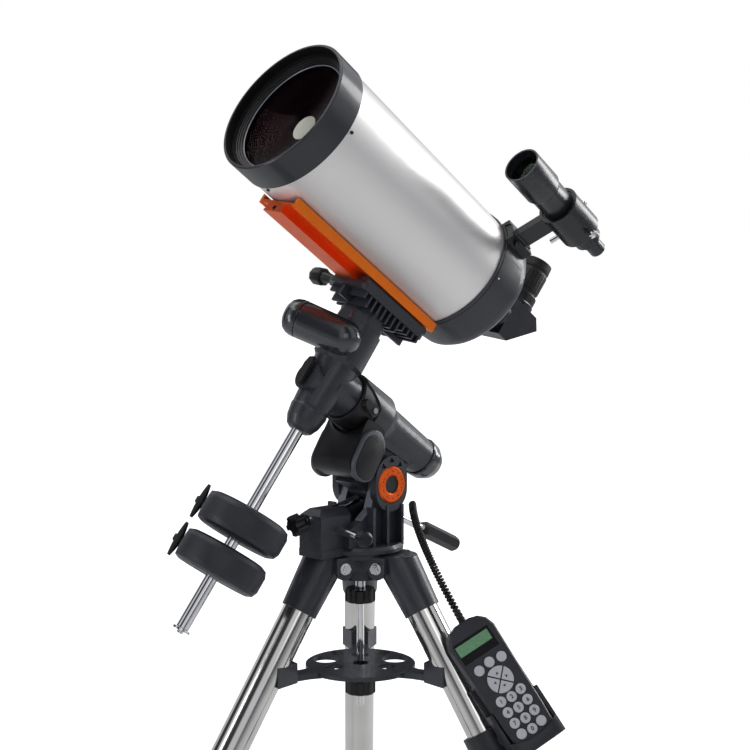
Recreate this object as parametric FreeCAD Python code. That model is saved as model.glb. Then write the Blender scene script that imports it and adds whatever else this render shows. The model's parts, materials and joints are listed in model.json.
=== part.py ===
import FreeCAD, Part
import math
import os

# Maksutov-Cassegrain telescope on a German equatorial mount and steel tripod.
# Millimetres, +Z up, origin on the floor under the azimuth axis, polar axis rising towards -X.

PLATE_Z = 720.0          # top plate of the tripod above the floor
LATITUDE = 33.0          # tilt of the polar axis above the horizon
RA_TURN = 8.4            # right-ascension axis turned from its upright position
AXES_X, AXES_Z = -72.4, 268.2      # where the polar and declination axes cross, from the top plate
PIVOT_X, PIVOT_Z = 20.4, 104.6     # altitude pivot, from the top plate
TUBE_OFFSET = 275.2      # optical axis from the axes' crossing
TUBE_FRONT = 322.9       # front rim ahead of the declination axis
RING_R, TUBE_R, CELL_R = 110.5, 107.7, 109.9
RING_BACK, CELL_FRONT, CELL_BACK = 48.3, 417.4, 493.4   # distances behind the front rim
LEG_TILT = 30.7          # leg axis from the vertical
LEG_AZIMUTHS = (46.6, 166.6, 286.6)
LEG_R, LEG_IN_R = 25.4, 22.2       # two inch outer tube and the inner leg
FOOT_R = 25.0            # rubber foot pad
WEIGHT_R, WEIGHT_T = 70.0, 48.5    # counterweight
SHAFT_R = 10.0           # counterweight shaft
SHAFT_END = -427.0       # lower end of the counterweight shaft from the axes' crossing
FINDER_R, FINDER_ANGLE = 204.0, -45.0   # finder axis from the optical axis
CLEAR = 0.05             # running clearance on a radius

V = FreeCAD.Vector
Z_UP = V(0, 0, 1)


def placement(origin, x, y, z):
    """Placement whose local axes are x, y and z."""
    return FreeCAD.Placement(V(*origin), FreeCAD.Rotation(V(*x), V(*y), V(*z), "ZXY"))


def moved(shape, frame):
    """Copy of a shape carried from a local frame into the parent frame."""
    copy = shape.copy()
    copy.Placement = frame.multiply(copy.Placement)
    return copy


def spoke(radius, degrees):
    """Point on a circle about the origin."""
    return radius * math.cos(math.radians(degrees)), radius * math.sin(math.radians(degrees))


def cyl(r, h, at=(0, 0, 0), along=(0, 0, 1)):
    return Part.makeCylinder(r, h, V(*at), V(*along))


def pipe(ro, ri, h, at=(0, 0, 0), along=(0, 0, 1)):
    return cyl(ro, h, at, along).cut(cyl(ri, h, at, along))


def cone(r1, r2, h, at=(0, 0, 0), along=(0, 0, 1)):
    return Part.makeCone(r1, r2, h, V(*at), V(*along))


def box(x0, x1, y0, y1, z0, z1):
    return Part.makeBox(x1 - x0, y1 - y0, z1 - z0, V(x0, y0, z0))


def turned(profile, at=(0, 0, 0), along=(0, 0, 1)):
    """Solid of revolution from (radius, height) points."""
    points = [V(r, 0, z) for r, z in profile]
    face = Part.Face(Part.makePolygon(points + [points[0]]))
    solid = face.revolve(V(0, 0, 0), Z_UP, 360)
    solid.Placement = FreeCAD.Placement(V(*at), FreeCAD.Rotation(Z_UP, V(*along)))
    return solid


def plate_xz(points, y0, y1):
    """Flat plate from (x, z) points between two y values."""
    loop = [V(x, y0, z) for x, z in points]
    return Part.Face(Part.makePolygon(loop + [loop[0]])).extrude(V(0, y1 - y0, 0))


def prism(points, z0, z1):
    """Straight prism from (x, y) points."""
    loop = [V(x, y, z0) for x, y in points]
    return Part.Face(Part.makePolygon(loop + [loop[0]])).extrude(V(0, 0, z1 - z0))


def fuse(shapes):
    body = shapes[0].multiFuse(shapes[1:]) if len(shapes) > 1 else shapes[0]
    return body.removeSplitter()


def cut(body, tools):
    for tool in tools:
        body = body.cut(tool)
    return body


def aimed(origin, along):
    """Frame with its z axis along the given direction."""
    return FreeCAD.Placement(V(*origin), FreeCAD.Rotation(Z_UP, V(*along)))


def lobed(r, lobes, depth, h):
    """Knob with scooped finger grips round its rim, standing on z = 0."""
    scoops = []
    scoop_r = r * math.sin(math.pi / lobes) * 0.62
    for i in range(lobes):
        angle = 2 * math.pi * (i + 0.5) / lobes
        reach = r + scoop_r - depth
        scoops.append(cyl(scoop_r, h, (reach * math.cos(angle), reach * math.sin(angle), 0)))
    body = turned([(0, 0), (r - 1.5, 0), (r, 1.5), (r, h - 2), (r - 2, h), (0, h)])
    return cut(body, scoops)


def wing(length, h):
    """Two-winged clamp knob on a short hub, its screw on +z."""
    outline = [(-length / 2, -4), (-length / 4, -7), (0, -9), (length / 4, -7), (length / 2, -4),
               (length / 2, 4), (length / 4, 7), (0, 9), (-length / 4, 7), (-length / 2, 4)]
    return fuse([prism(outline, 0, h), cyl(8, h + 5, (0, 0, -5))])


# ---------------------------------------------------------------- frames
ORIGIN_T = FreeCAD.Placement(V(0, 0, PLATE_Z), FreeCAD.Rotation())
ALT_FRAME = ORIGIN_T.multiply(FreeCAD.Placement(
    V(AXES_X, 0, AXES_Z), FreeCAD.Rotation(V(0, 1, 0), LATITUDE - 90)))
RA_FRAME = ALT_FRAME.multiply(FreeCAD.Placement(V(0, 0, 0), FreeCAD.Rotation(Z_UP, -RA_TURN)))
OTA_FRAME = RA_FRAME.multiply(FreeCAD.Placement(V(TUBE_OFFSET, 0, TUBE_FRONT), FreeCAD.Rotation()))


def pivot_in_alt():
    """Altitude pivot seen from the axes' crossing, in the tilted frame."""
    lat = math.radians(LATITUDE)
    dx, dz = PIVOT_X - AXES_X, PIVOT_Z - AXES_Z
    return dx * math.sin(lat) + dz * math.cos(lat), -dx * math.cos(lat) + dz * math.sin(lat)


def leg_frame(azimuth):
    """Leg frame: z down the leg, y along the hinge bolt, origin on the leg axis beside the head."""
    a, tilt = math.radians(azimuth), math.radians(LEG_TILT)
    rad = (math.cos(a), math.sin(a))
    down = (math.sin(tilt) * rad[0], math.sin(tilt) * rad[1], -math.cos(tilt))
    side = (-rad[1], rad[0], 0.0)
    inner = (-math.cos(tilt) * rad[0], -math.cos(tilt) * rad[1], -math.sin(tilt))
    return placement((68 * rad[0], 68 * rad[1], PLATE_Z - 15.3), inner, side, down)


# ---------------------------------------------------------------- tripod
HINGE_RADIUS, HINGE_DROP = 52.0, 20.0


def turned_to(shape, azimuth):
    return moved(shape, FreeCAD.Placement(V(0, 0, PLATE_Z), FreeCAD.Rotation(Z_UP, azimuth)))


def socket(azimuth):
    """Cast socket on top of a leg, level with the head on top, bored for the leg tube."""
    body = cone(34, 28.6, 113, (0, 0, -30))
    body = moved(body, leg_frame(azimuth))
    body = body.common(cyl(200, 300, (0, 0, PLATE_Z - 302)))
    bore = moved(cyl(LEG_R + CLEAR, 70, (0, 0, 20)), leg_frame(azimuth))
    hinge = turned_to(cyl(4.1, 90, (HINGE_RADIUS, -45, -HINGE_DROP), (0, 1, 0)), azimuth)
    return cut(body, [bore, hinge])


def tripod_head():
    """Hub with three pairs of hinge lugs, the top plate and the azimuth peg."""
    parts = [cyl(62, 7, (0, 0, PLATE_Z - 7)), cyl(30, 40, (0, 0, PLATE_Z - 46)),
             cyl(22, 12, (0, 0, PLATE_Z)), cyl(6, 53, (-85, 0, PLATE_Z - 3))]
    parts.append(box(-85, 0, -7, 7, PLATE_Z - 6, PLATE_Z - 0.5))
    for azimuth in LEG_AZIMUTHS:
        for side in (-1, 1):
            y0 = 34.6 if side > 0 else -42.6
            lug = box(18, 66, y0, y0 + 8, -26, -3)
            lug = lug.fuse(cyl(14, 8, (HINGE_RADIUS, y0, -HINGE_DROP - 4), (0, 1, 0)))
            lug = lug.cut(cyl(4.05, 8, (HINGE_RADIUS, y0, -HINGE_DROP), (0, 1, 0)))
            parts.append(turned_to(lug, azimuth))
    body = fuse(parts)
    for azimuth in LEG_AZIMUTHS:
        body = body.cut(moved(cone(34.3, 28.9, 113, (0, 0, -30)), leg_frame(azimuth)))
    body = body.cut(cyl(6.5, 80, (0, 0, PLATE_Z - 50)))
    return body.cut(cyl(8.2, 37, (0, 0, PLATE_Z - 50)))


def head_bolts():
    """Three hinge bolts with hexagon heads and nuts."""
    bolts = []
    hexagon = [(7.5 * math.cos(math.radians(60 * i)), 7.5 * math.sin(math.radians(60 * i)))
               for i in range(6)]
    for azimuth in LEG_AZIMUTHS:
        head = prism(hexagon, 0, 5).fuse(cyl(9, 1.6, (0, 0, -1.6)))
        nut = prism(hexagon, 0, 6).fuse(cyl(9, 1.6, (0, 0, -1.6))).fuse(cyl(4, 9))
        rod = cyl(4, 88.4, (HINGE_RADIUS, -44.2, -HINGE_DROP), (0, 1, 0))
        a = moved(head, aimed((HINGE_RADIUS, 44.25, -HINGE_DROP), (0, 1, 0)))
        b = moved(nut, aimed((HINGE_RADIUS, -44.25, -HINGE_DROP), (0, -1, 0)))
        bolts.append(turned_to(fuse([rod, a, b]), azimuth))
    return Part.makeCompound(bolts)


TUBE_TOP, TUBE_END = 20.0, 560.0


def leg_tube(azimuth):
    return moved(pipe(LEG_R, LEG_R - 1.6, TUBE_END - TUBE_TOP, (0, 0, TUBE_TOP)), leg_frame(azimuth))


def leg_clamp(azimuth):
    """Split clamp casting at the lower end of a leg tube."""
    profile = [(LEG_R + 0.02, 530), (30, 530), (31, 534), (31, 592), (28, 600),
               (LEG_IN_R + CLEAR, 600), (LEG_IN_R + CLEAR, 560.05), (LEG_R + 0.02, 560.05)]
    ear = cut(box(29.5, 46, -8, 8, 564, 590), [cyl(4.05, 20, (38, -10, 577), (0, 1, 0))])
    return moved(turned(profile).fuse(ear), leg_frame(azimuth))


def leg_lock(azimuth):
    """Clamp screw with a winged head on a leg clamp."""
    screw = cyl(4, 44, (0, 0, -43)).fuse(wing(40, 8))
    return moved(moved(screw, aimed((38, 38, 577), (0, 1, 0))), leg_frame(azimuth))


def lower_leg(azimuth):
    """Inner leg with its rubber foot standing flat on the floor."""
    frame = leg_frame(azimuth)
    stick = moved(pipe(LEG_IN_R, LEG_IN_R - 1.5, 475, (0, 0, 305)), frame)
    end = frame.multVec(V(0, 0, 795))
    boot = moved(turned([(0, 0), (24, 0), (25.5, 4), (25.5, 19), (23, 23), (0, 23)], (0, 0, 764)), frame)
    pad = cyl(FOOT_R, 14, (end.x, end.y, 0)).fuse(cone(FOOT_R, 21, 18, (end.x, end.y, 14)))
    foot = fuse([boot, pad]).cut(moved(cyl(LEG_IN_R, 16, (0, 0, 764)), frame))
    return Part.makeCompound([stick, foot])


def centre_rod():
    """Threaded rod which pulls the mount down on to the head and carries the tray."""
    profile = [(0, -252), (5, -252), (6, -250), (6, -62), (8, -62), (8, -14), (6, -14), (6, 20), (0, 20)]
    return turned([(r, z + PLATE_Z) for r, z in profile])


def rod_knob(z_low, z_high):
    knob = lobed(24, 8, 3, z_high - z_low).cut(cyl(6.0 + CLEAR, 60, (0, 0, -5)))
    return moved(knob, FreeCAD.Placement(V(0, 0, PLATE_Z + z_low), FreeCAD.Rotation()))


TRAY_DROP = 190.0


def tray():
    """Accessory tray: a disc with eyepiece holes and three arms cupping the legs."""
    parts = [cyl(87, 7), cyl(16, 18, (0, 0, -11))]
    for azimuth in LEG_AZIMUTHS:
        spin = FreeCAD.Placement(V(0, 0, 0), FreeCAD.Rotation(Z_UP, azimuth))
        arm = prism([(40, -26), (98, -13), (128, -13), (128, 13), (98, 13), (40, 26)], -3, 7)
        cup = prism([(120, -14), (160, -29), (160, 29), (120, 14)], -5, 26)
        parts += [moved(arm, spin), moved(cup, spin)]
    body = fuse(parts)
    holes = [cyl(6 + 0.3, 60, (0, 0, -30)), cyl(13, 8, (0, 0, 1))]
    for azimuth in LEG_AZIMUTHS:
        a = math.radians(azimuth)
        holes.append(cyl(14, 40, (47 * math.cos(a), 47 * math.sin(a), -20)))
    for i in (0, 2):
        middle = LEG_AZIMUTHS[i] + 60
        for turn, radius, reach in ((9, 20.5, 59), (-26, 11.0, 69)):
            turn = turn if i == 0 else -turn
            a = math.radians(middle + turn)
            holes.append(cyl(radius, 40, (reach * math.cos(a), reach * math.sin(a), -20)))
    body = cut(body, holes)
    body = moved(body, FreeCAD.Placement(V(0, 0, PLATE_Z - TRAY_DROP), FreeCAD.Rotation()))
    for azimuth in LEG_AZIMUTHS:
        body = body.cut(moved(cyl(LEG_R + 0.05, 400, (0, 0, 60)), leg_frame(azimuth)))
    return max(body.Solids, key=lambda s: s.Volume)


# ---------------------------------------------------------------- azimuth base
EAR_IN, EAR_OUT = 22.0, 38.0
SCREW_FRONT = ((-95.8, 61.5), (0.9797, 0.2006))
SCREW_REAR = ((136.0, 17.3), (-0.906, 0.4233))
AZ_NEAR = ((-76.0, -35.0), (-0.277, -0.961))


def stadium(r, rise, y0, y1):
    low = cyl(r, y1 - y0, (PIVOT_X, y0, PIVOT_Z - rise), (0, 1, 0))
    high = cyl(r, y1 - y0, (PIVOT_X, y0, PIVOT_Z + rise + 3), (0, 1, 0))
    return fuse([low, high, box(PIVOT_X - r, PIVOT_X + r, y0, y1, PIVOT_Z - rise, PIVOT_Z + rise + 3)])


def azimuth_base():
    """Turning base: round foot, north box, fork ears, ribs and the pivot bosses."""
    foot = turned([(0, 0.1), (66, 0.1), (68, 2), (68, 7), (64, 12), (0, 12)])
    north = box(-106, -44, -25, 25, 12, 74)
    north = north.cut(moved(box(-80, 80, -20, 20, 0, 40), FreeCAD.Placement(
        V(-75, -25, 62), FreeCAD.Rotation(V(1, 0, 0), 45))))
    north = north.cut(moved(box(-80, 80, -20, 20, 0, 40), FreeCAD.Placement(
        V(-75, 25, 62), FreeCAD.Rotation(V(1, 0, 0), -45))))
    north = north.cut(moved(box(-30, 30, -60, 60, 0, 40), FreeCAD.Placement(
        V(-100, 0, 70), FreeCAD.Rotation(V(0, 1, 0), -40))))
    parts = [foot, north, box(-106, 40, -26, 26, 0.1, 12), box(-60, 56, -38, 38, 12, 38)]
    ear = [(-60, 12), (-60, 40), (-34, 52), (-14, 68), (-3, 104), (-2, 132), (8, 148), (33, 148),
           (47, 132), (50, 104), (54, 60), (60, 12)]
    for y0, y1 in ((-EAR_OUT, -EAR_IN), (EAR_IN, EAR_OUT)):
        parts.append(plate_xz(ear, y0, y1))
    for y0, y1 in ((-50, -36), (36, 50)):
        parts.append(stadium(34, 8, y0, y1))
    for x0 in (-22, 8, 40):
        for y0, y1 in ((-52, -36), (36, 52)):
            parts.append(plate_xz([(x0, 8), (x0 + 5, 8), (x0 + 5, 72), (x0, 72)], y0, y1))
    parts.append(box(40, 58, -EAR_IN - 1, EAR_IN + 1, 36, 70))
    body = fuse(parts)
    tools = [cyl(13.5, 120, (PIVOT_X, -60, PIVOT_Z), (0, 1, 0))]
    tools.append(cyl(29.3, 9, (PIVOT_X, -53, PIVOT_Z), (0, 1, 0)))
    tools.append(cyl(29.3, 9, (PIVOT_X, 44, PIVOT_Z), (0, 1, 0)))
    tools.append(cyl(22.3, 12.4, (0, 0, 0)))
    tools.append(box(-102, -62, -19, 19, 0, 53))
    tools.append(cyl(6.5, 60, (0, 0, -1)))
    for (x, z), (dx, dz) in (SCREW_FRONT, SCREW_REAR):
        tools.append(cyl(6.1, 190, (x - 60 * dx, 0, z - 60 * dz), (dx, 0, dz)))
    for side in (1, -1):
        (x, y), (dx, dy) = AZ_NEAR
        tools.append(cyl(6.1, 62, (x + 28 * -dx, (y + 28 * -dy) * side, 42), (dx, dy * side, 0)))
    for side in (-1, 1):
        y0 = -51 if side < 0 else 46
        for spread in (-1, 0, 1):
            cx = PIVOT_X + spread * 17
            top = PIVOT_Z + 41 - abs(spread) * 8
            pocket = [(cx - 6, top - 6), (cx + 6, top - 6), (cx + spread * 2, top + 2.5)]
            tools.append(plate_xz(pocket, y0, y0 + 5))
    body = cut(body, tools)
    return moved(max(body.Solids, key=lambda s: s.Volume), ORIGIN_T)


def pivot_rings():
    """Machined ring on each side of the altitude pivot, with a circle of small screw seats."""
    rings = []
    for side in (-1, 1):
        ring = turned([(14, 0), (29, 0), (29, 5), (26.5, 8), (16, 8), (14, 6)])
        for i in range(12):
            a = math.radians(30 * i)
            ring = ring.cut(cyl(1.1, 2, (21.5 * math.cos(a), 21.5 * math.sin(a), 7)))
        rings.append(moved(ring, aimed((PIVOT_X, side * 44.2, PIVOT_Z), (0, side, 0))))
    return moved(Part.makeCompound(rings), ORIGIN_T)


def pivot_pin():
    pin = turned([(0, 0), (13.4, 0), (13.4, 97), (11, 99), (0, 99)])
    return moved(moved(pin, aimed((PIVOT_X, -49.5, PIVOT_Z), (0, 1, 0))), ORIGIN_T)


def front_screw():
    """Front altitude screw, its tip facing the cam, with a five-lobed knob outside."""
    (x, z), (dx, dz) = SCREW_FRONT
    knob = lobed(16.5, 5, 7, 20)
    knob = knob.fuse(turned([(0, 20), (12, 20), (9, 30), (0, 30)]))
    rod = turned([(0, 22), (6, 22), (6, 138), (5, 139.5), (0, 139.5)])
    frame = aimed((x - 47 * dx, 0, z - 47 * dz), (dx, 0, dz))
    return moved(moved(knob.fuse(rod), frame), ORIGIN_T)


def rear_screw():
    """Rear altitude screw with its long six-sided handle."""
    (x, z), (dx, dz) = SCREW_REAR
    hexagon = [(13.5 * math.cos(math.radians(60 * i)), 13.5 * math.sin(math.radians(60 * i)))
               for i in range(6)]
    handle = prism(hexagon, 0, 92).common(turned([(0, 0), (11, 0), (14, 5), (14, 80), (9, 92), (0, 92)]))
    rod = cyl(6, 125, (0, 0, 88))
    frame = aimed((x - 94 * dx, 0, z - 94 * dz), (dx, 0, dz))
    return moved(moved(handle.fuse(rod), frame), ORIGIN_T)


def azimuth_screw(side, out):
    """Azimuth screw with a round knob; it pushes sideways on the peg of the tripod head."""
    (x, y), (dx, dy) = AZ_NEAR
    rod = turned([(0, -27), (6, -27), (6, out), (0, out)])
    knob = turned([(0, out - 0.5), (8, out - 0.5), (11.5, out + 3), (12.5, out + 8), (11.5, out + 18),
                   (8, out + 21), (0, out + 21)])
    for i in range(8):
        a = math.radians(45 * i)
        knob = knob.cut(cyl(2.2, 30, (13.6 * math.cos(a), 13.6 * math.sin(a), out + 2)))
    frame = aimed((x, y * side, 42), (dx, dy * side, 0))
    return moved(moved(fuse([rod, knob]), frame), ORIGIN_T)


# ---------------------------------------------------------------- right-ascension housing
def ra_housing():
    """Tilting casting: bearing tube, shroud over the clutch drum and the web down to the pivot."""
    px, pz = pivot_in_alt()
    barrel = turned([(0, -88.6), (44, -88.6), (44, -120), (35, -137), (33, -190), (31, -243), (0, -243)])
    shroud = turned([(41.6, -92), (41.6, -50), (44, -52), (44, -92)])
    slope = moved(box(-100, 100, -100, 100, 0, 200), aimed((0, -30, -78), (-0.55, -0.62, 0.56)))
    shroud = shroud.cut(slope)
    web = plate_xz([(0, -95), (0, -225), (-50, -206), (px + 16, pz - 22), (px - 4, pz - 27),
                    (px - 26, pz - 6),
                    (px - 24, pz + 20), (-112, -122), (-112, -95)], -21.5, 21.5)
    cam = cyl(30, 43, (px, -21.5, pz), (0, 1, 0))
    cheek = plate_xz([(0, -125), (0, -215), (-32, -205), (-36, -125)], -27, 27)
    body = fuse([barrel, shroud, web, cam, cheek])
    tools = [cyl(13.5 + CLEAR, 120, (px, -60, pz), (0, 1, 0)),
             turned([(0, -60), (36, -60), (36, -112), (14.05, -112), (14.05, -238), (0, -238)])]
    tools.append(box(-130, -44.6, -47, 47, -118.6, -60))
    return moved(cut(body, tools), ALT_FRAME)


def motor_cover():
    """Rounded electronics box under the polar axis."""
    body = plate_xz([(-44.8, -64), (-48, -60), (-96, -60), (-112, -66), (-119, -80), (-119, -104),
                     (-112, -118), (-44.8, -118)], -45.8, 45.8)
    body = body.makeFillet(5, [e for e in body.Edges if e.BoundBox.YLength > 80 and e.CenterOfMass.z < -90])
    arch = cyl(45.2, 90, (0, 0, -130))
    return moved(body.cut(arch), ALT_FRAME)


def side_panel():
    """Raised access panel on each side of the electronics box."""
    panels = []
    outline = [(-30, -100), (-30, -88), (-44, -70), (-56, -66), (-100, -66), (-112, -72), (-116, -84),
               (-116, -100), (-106, -114), (-92, -117.5), (-46, -117.5), (-34, -112)]
    for side in (-1, 1):
        y0, y1 = (-50.5, -45.9) if side < 0 else (45.9, 50.5)
        panel = plate_xz(outline, y0, y1)
        rim = [e for e in panel.Faces if abs(e.CenterOfMass.y - side * 50.5) < 0.01][0].Edges
        panels.append(panel.makeChamfer(2.2, rim))
    return moved(Part.makeCompound(panels), ALT_FRAME)


def ra_rear_cap():
    profile = [(0, -243.1), (32.5, -243.1), (33.5, -247), (32, -262), (25, -276), (17, -281), (0, -281)]
    return moved(turned(profile), ALT_FRAME)


def lever(length, width, thick):
    """Clutch lever: round eye at the origin, finger end along +x, standing on z = 0."""
    body = fuse([cyl(width, thick), prism([(0, -width), (length, -width * 0.45), (length, width * 0.45),
                                           (0, width)], 0, thick),
                 cyl(width * 0.62, thick + 3, (length, 0, 0))])
    return body


def ra_clutch():
    """Black clutch lever on the side of the drum with its bright screw head."""
    body = lever(20, 10, 6).fuse(cyl(4.5, 8.5))
    frame = placement((-8.6, -45.6, -70), (0.12, 0, 0.99), (0.99, 0, -0.12), (0, -1, 0))
    return moved(moved(body, frame), ALT_FRAME)


# ---------------------------------------------------------------- right-ascension moving group
def clutch_drum():
    """Black drum between the two housings with the polar shaft behind it."""
    drum = turned([(0, -46), (39, -46), (41.3, -49), (41.3, -88.2), (35.8, -88.2), (35.8, -90), (0, -90)])
    shaft = cyl(14, 148, (0, 0, -237))
    return moved(drum.fuse(shaft), RA_FRAME)


def worm_wheel():
    """Worm wheel on the polar shaft inside the housing."""
    wheel = pipe(34, 14.02, 12, (0, 0, -108))
    teeth = [cyl(1.1, 14, (*spoke(34.4, 10 * i), -109))
             for i in range(36)]
    return moved(wheel.cut(Part.makeCompound(teeth)), RA_FRAME)


def dec_housing():
    """Declination housing: tapered lower barrel, upper barrel and the stub to the polar axis."""
    outline = [(0, -50), (28.6, -50), (29.6, -48), (36, 30), (41.4, 36), (40.4, 97), (0, 97)]
    barrel = turned(outline, (0, 0, 0), (1, 0, 0))
    stub = cyl(36, 45.9, (0, 0, -45.9))
    skin = turned([(0, -46), (31.2, -46), (37, 24), (0, 24)], (0, 0, 0), (1, 0, 0))
    panel = skin.common(box(-46, 24, -60, -16, -20, 26))
    collar = cyl(24, 26, (-10, 0, 12))
    body = fuse([barrel, stub, panel, collar])
    bore = cyl(18, 140, (-30, 0, 0), (1, 0, 0))
    return moved(cut(body, [bore, cyl(SHAFT_R, 40, (-60, 0, 0), (1, 0, 0))]), RA_FRAME)


def dec_lower_cap():
    profile = [(SHAFT_R + CLEAR, -50.1), (29.6, -50.1), (30.2, -54), (27, -72), (21, -84), (15, -88),
               (SHAFT_R + CLEAR, -88)]
    return moved(turned(profile, (0, 0, 0), (1, 0, 0)), RA_FRAME)


def dec_motor_cover():
    """Smooth rounded motor cover wrapped against the declination barrel."""
    a, b = V(64, -22, 32), V(61, 44, 76)
    axis = b.sub(a)
    ra, rb = 29.0, 28.0
    body = fuse([Part.makeSphere(ra, a), Part.makeSphere(rb, b),
                 Part.makeCone(ra, rb, axis.Length, a, axis)])
    body = body.cut(moved(box(-60, 60, -60, 60, 0, 60), aimed((61, 60, 86), (0, 0.8, 0.6))))
    body = body.cut(cyl(41.6, 200, (-60, 0, 0), (1, 0, 0)))
    body = body.cut(box(96.9, 200, -200, 200, -200, 200))
    return moved(max(body.Solids, key=lambda s: s.Volume), RA_FRAME)


def dec_clutch():
    """Crescent clutch lever on the north side of the declination housing."""
    grip = [(-24, -5), (-18, -8), (18, -8), (24, -5), (22, 4), (12, 8), (-12, 8), (-22, 4)]
    body = fuse([cyl(9, 8), prism(grip, 3, 9)])
    return moved(moved(body, placement((-6, 2, 38.2), (1, 0, 0), (0, 1, 0), (0, 0, 1))), RA_FRAME)


def counter_shaft():
    """Counterweight shaft with the safety washer and screw on its end."""
    shaft = turned([(0, SHAFT_END), (SHAFT_R - 1, SHAFT_END), (SHAFT_R, SHAFT_END + 1), (SHAFT_R, -30),
                    (0, -30)],
                   (0, 0, 0), (1, 0, 0))
    washer = turned([(0, SHAFT_END - 4), (14, SHAFT_END - 4), (14, SHAFT_END - 0.1), (0, SHAFT_END - 0.1)],
                    (0, 0, 0), (1, 0, 0))
    screw = cyl(5, 4, (SHAFT_END - 8, 0, 0), (1, 0, 0))
    return moved(Part.makeCompound([shaft, washer.fuse(screw)]), RA_FRAME)


WEIGHT_TOPS = (-228.5, -293.0)
KNOB_SIDE = (0.0, 0.652, 0.758)


def counterweight(top):
    """Round weight bored for the shaft, flattened where its clamp screw enters."""
    profile = [(SHAFT_R + CLEAR, top - WEIGHT_T), (WEIGHT_R - 12, top - WEIGHT_T),
               (WEIGHT_R - 4, top - WEIGHT_T + 3.5), (WEIGHT_R, top - WEIGHT_T + 12), (WEIGHT_R, top - 12),
               (WEIGHT_R - 4, top - 3.5), (WEIGHT_R - 12, top), (SHAFT_R + CLEAR, top)]
    body = turned(profile, (0, 0, 0), (1, 0, 0))
    side = placement((top - WEIGHT_T / 2, 0, 0), (1, 0, 0), (0, KNOB_SIDE[2], -KNOB_SIDE[1]), KNOB_SIDE)
    body = body.cut(moved(box(-60, 60, -90, 90, 64, 90), side))
    return moved(body.cut(moved(cyl(4.05, 70, (0, 0, 11)), side)), RA_FRAME)


def weight_knob(top):
    """Winged clamp screw of a counterweight."""
    side = placement((top - WEIGHT_T / 2, 0, 0), (1, 0, 0), (0, KNOB_SIDE[2], -KNOB_SIDE[1]), KNOB_SIDE)
    wings = moved(wing(62, 7), FreeCAD.Placement(V(0, 0, 72), FreeCAD.Rotation()))
    knob = fuse([cyl(4, 62, (0, 0, 12)), wings])
    return moved(moved(knob, side), RA_FRAME)


# ---------------------------------------------------------------- declination moving group
def saddle():
    """Neck, ribbed saddle plate and the fixed jaw."""
    neck = cut(cone(39, 34, 41, (97.15, 0, 0), (1, 0, 0)), [
        moved(box(-60, 60, 36.2, 60, -10, 60), FreeCAD.Placement(
            V(97, 0, 0), FreeCAD.Rotation(V(1, 0, 0), 45 * i))) for i in range(8)])
    plate = box(138, 147, -44, 44, -92, 66)
    plate = plate.makeFillet(12, [e for e in plate.Edges if e.BoundBox.XLength > 8.9])
    parts = [neck, plate]
    for z0 in range(-84, 60, 12):
        inner = 118 if abs(z0 + 3) < 40 else 128
        parts.append(box(inner, 139, -42, 42, z0, z0 + 4))
    parts.append(box(120, 139, -3, 3, -90, 64))
    rail = Part.Face(Part.makePolygon([V(147, -44, 0), V(147, -23.2, 0), (V(156, -20.4, 0)), V(158, -24, 0),
                                       V(158, -40, 0), V(154, -44, 0), V(147, -44, 0)])).extrude(V(0, 0, 150))
    rail.translate(V(0, 0, -88))
    parts.append(rail)
    parts.append(cyl(17.9, 127, (-29, 0, 0), (1, 0, 0)))
    parts.append(box(138, 158.5, 43.4, 53, 30, 50).cut(cyl(4.05, 20, (152.5, 40, 40), (0, 1, 0))))
    return moved(fuse(parts), RA_FRAME)


def saddle_jaw():
    """Moving jaw pressed against the dovetail by the clamp knob."""
    jaw = Part.Face(Part.makePolygon([V(147.1, 40, 0), V(147.1, 23.4, 0), V(156, 20.6, 0), V(158, 24, 0),
                                      V(158, 36, 0), V(154, 40, 0), V(147.1, 40, 0)])).extrude(V(0, 0, 130))
    jaw.translate(V(0, 0, -74))
    return moved(jaw, RA_FRAME)


def saddle_knob():
    """Six-lobed knob of the saddle clamp."""
    knob = moved(lobed(14, 6, 3.5, 30), aimed((152.5, 62, 40), (0, 1, 0)))
    stem = cyl(4, 24, (152.5, 43.4, 40), (0, 1, 0)).fuse(cyl(8, 8, (152.5, 55, 40), (0, 1, 0)))
    return moved(knob.fuse(stem), RA_FRAME)


def dovetail():
    """Orange dovetail: narrow bar below, wide cradle with a raised flange along each side."""
    bar = Part.Face(Part.makePolygon([V(147.2, -22.9, 0), V(147.2, 22.9, 0), V(156, 20.1, 0), V(160, 20.1, 0),
                                      V(160, -20.1, 0), V(156, -20.1, 0),
                                       V(147.2, -22.9, 0)])).extrude(V(0, 0, 343))
    web = box(160, 165.5, -41, 41, 0, 343)
    flange = [box(159, 178, y0, y0 + 5, 0, 343) for y0 in (-43.5, 38.5)]
    body = fuse([bar, web] + flange)
    body.translate(V(0, 0, -100))
    body = body.cut(cyl(CELL_R + 0.1, 500, (TUBE_OFFSET, 0, -177 + 1), (0, 0, 1)))
    body = body.cut(cyl(4, 14, (153.6, 0, 230), (0, 0, 1)))
    return moved(max(body.Solids, key=lambda s: s.Volume), RA_FRAME)


def ota(profile):
    """Turned part of the optical tube; heights are distances behind the front rim."""
    return moved(turned([(r, -t) for r, t in profile]), OTA_FRAME)


def front_ring():
    outside = [(106, 0), (109, 0), (RING_R, 1.5), (RING_R, RING_BACK), (105.8, RING_BACK)]
    inside = [(105.8, RING_BACK + 7), (96.2, RING_BACK + 7), (96.2, 27), (91, 27), (91, 24), (98, 21),
              (101, 14), (103, 13), (104, 3)]
    return ota(outside + inside)


def main_tube():
    front = RING_BACK + 0.05
    return ota([(TUBE_R, front), (TUBE_R, CELL_FRONT), (105.9, CELL_FRONT), (105.9, front)])


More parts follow.
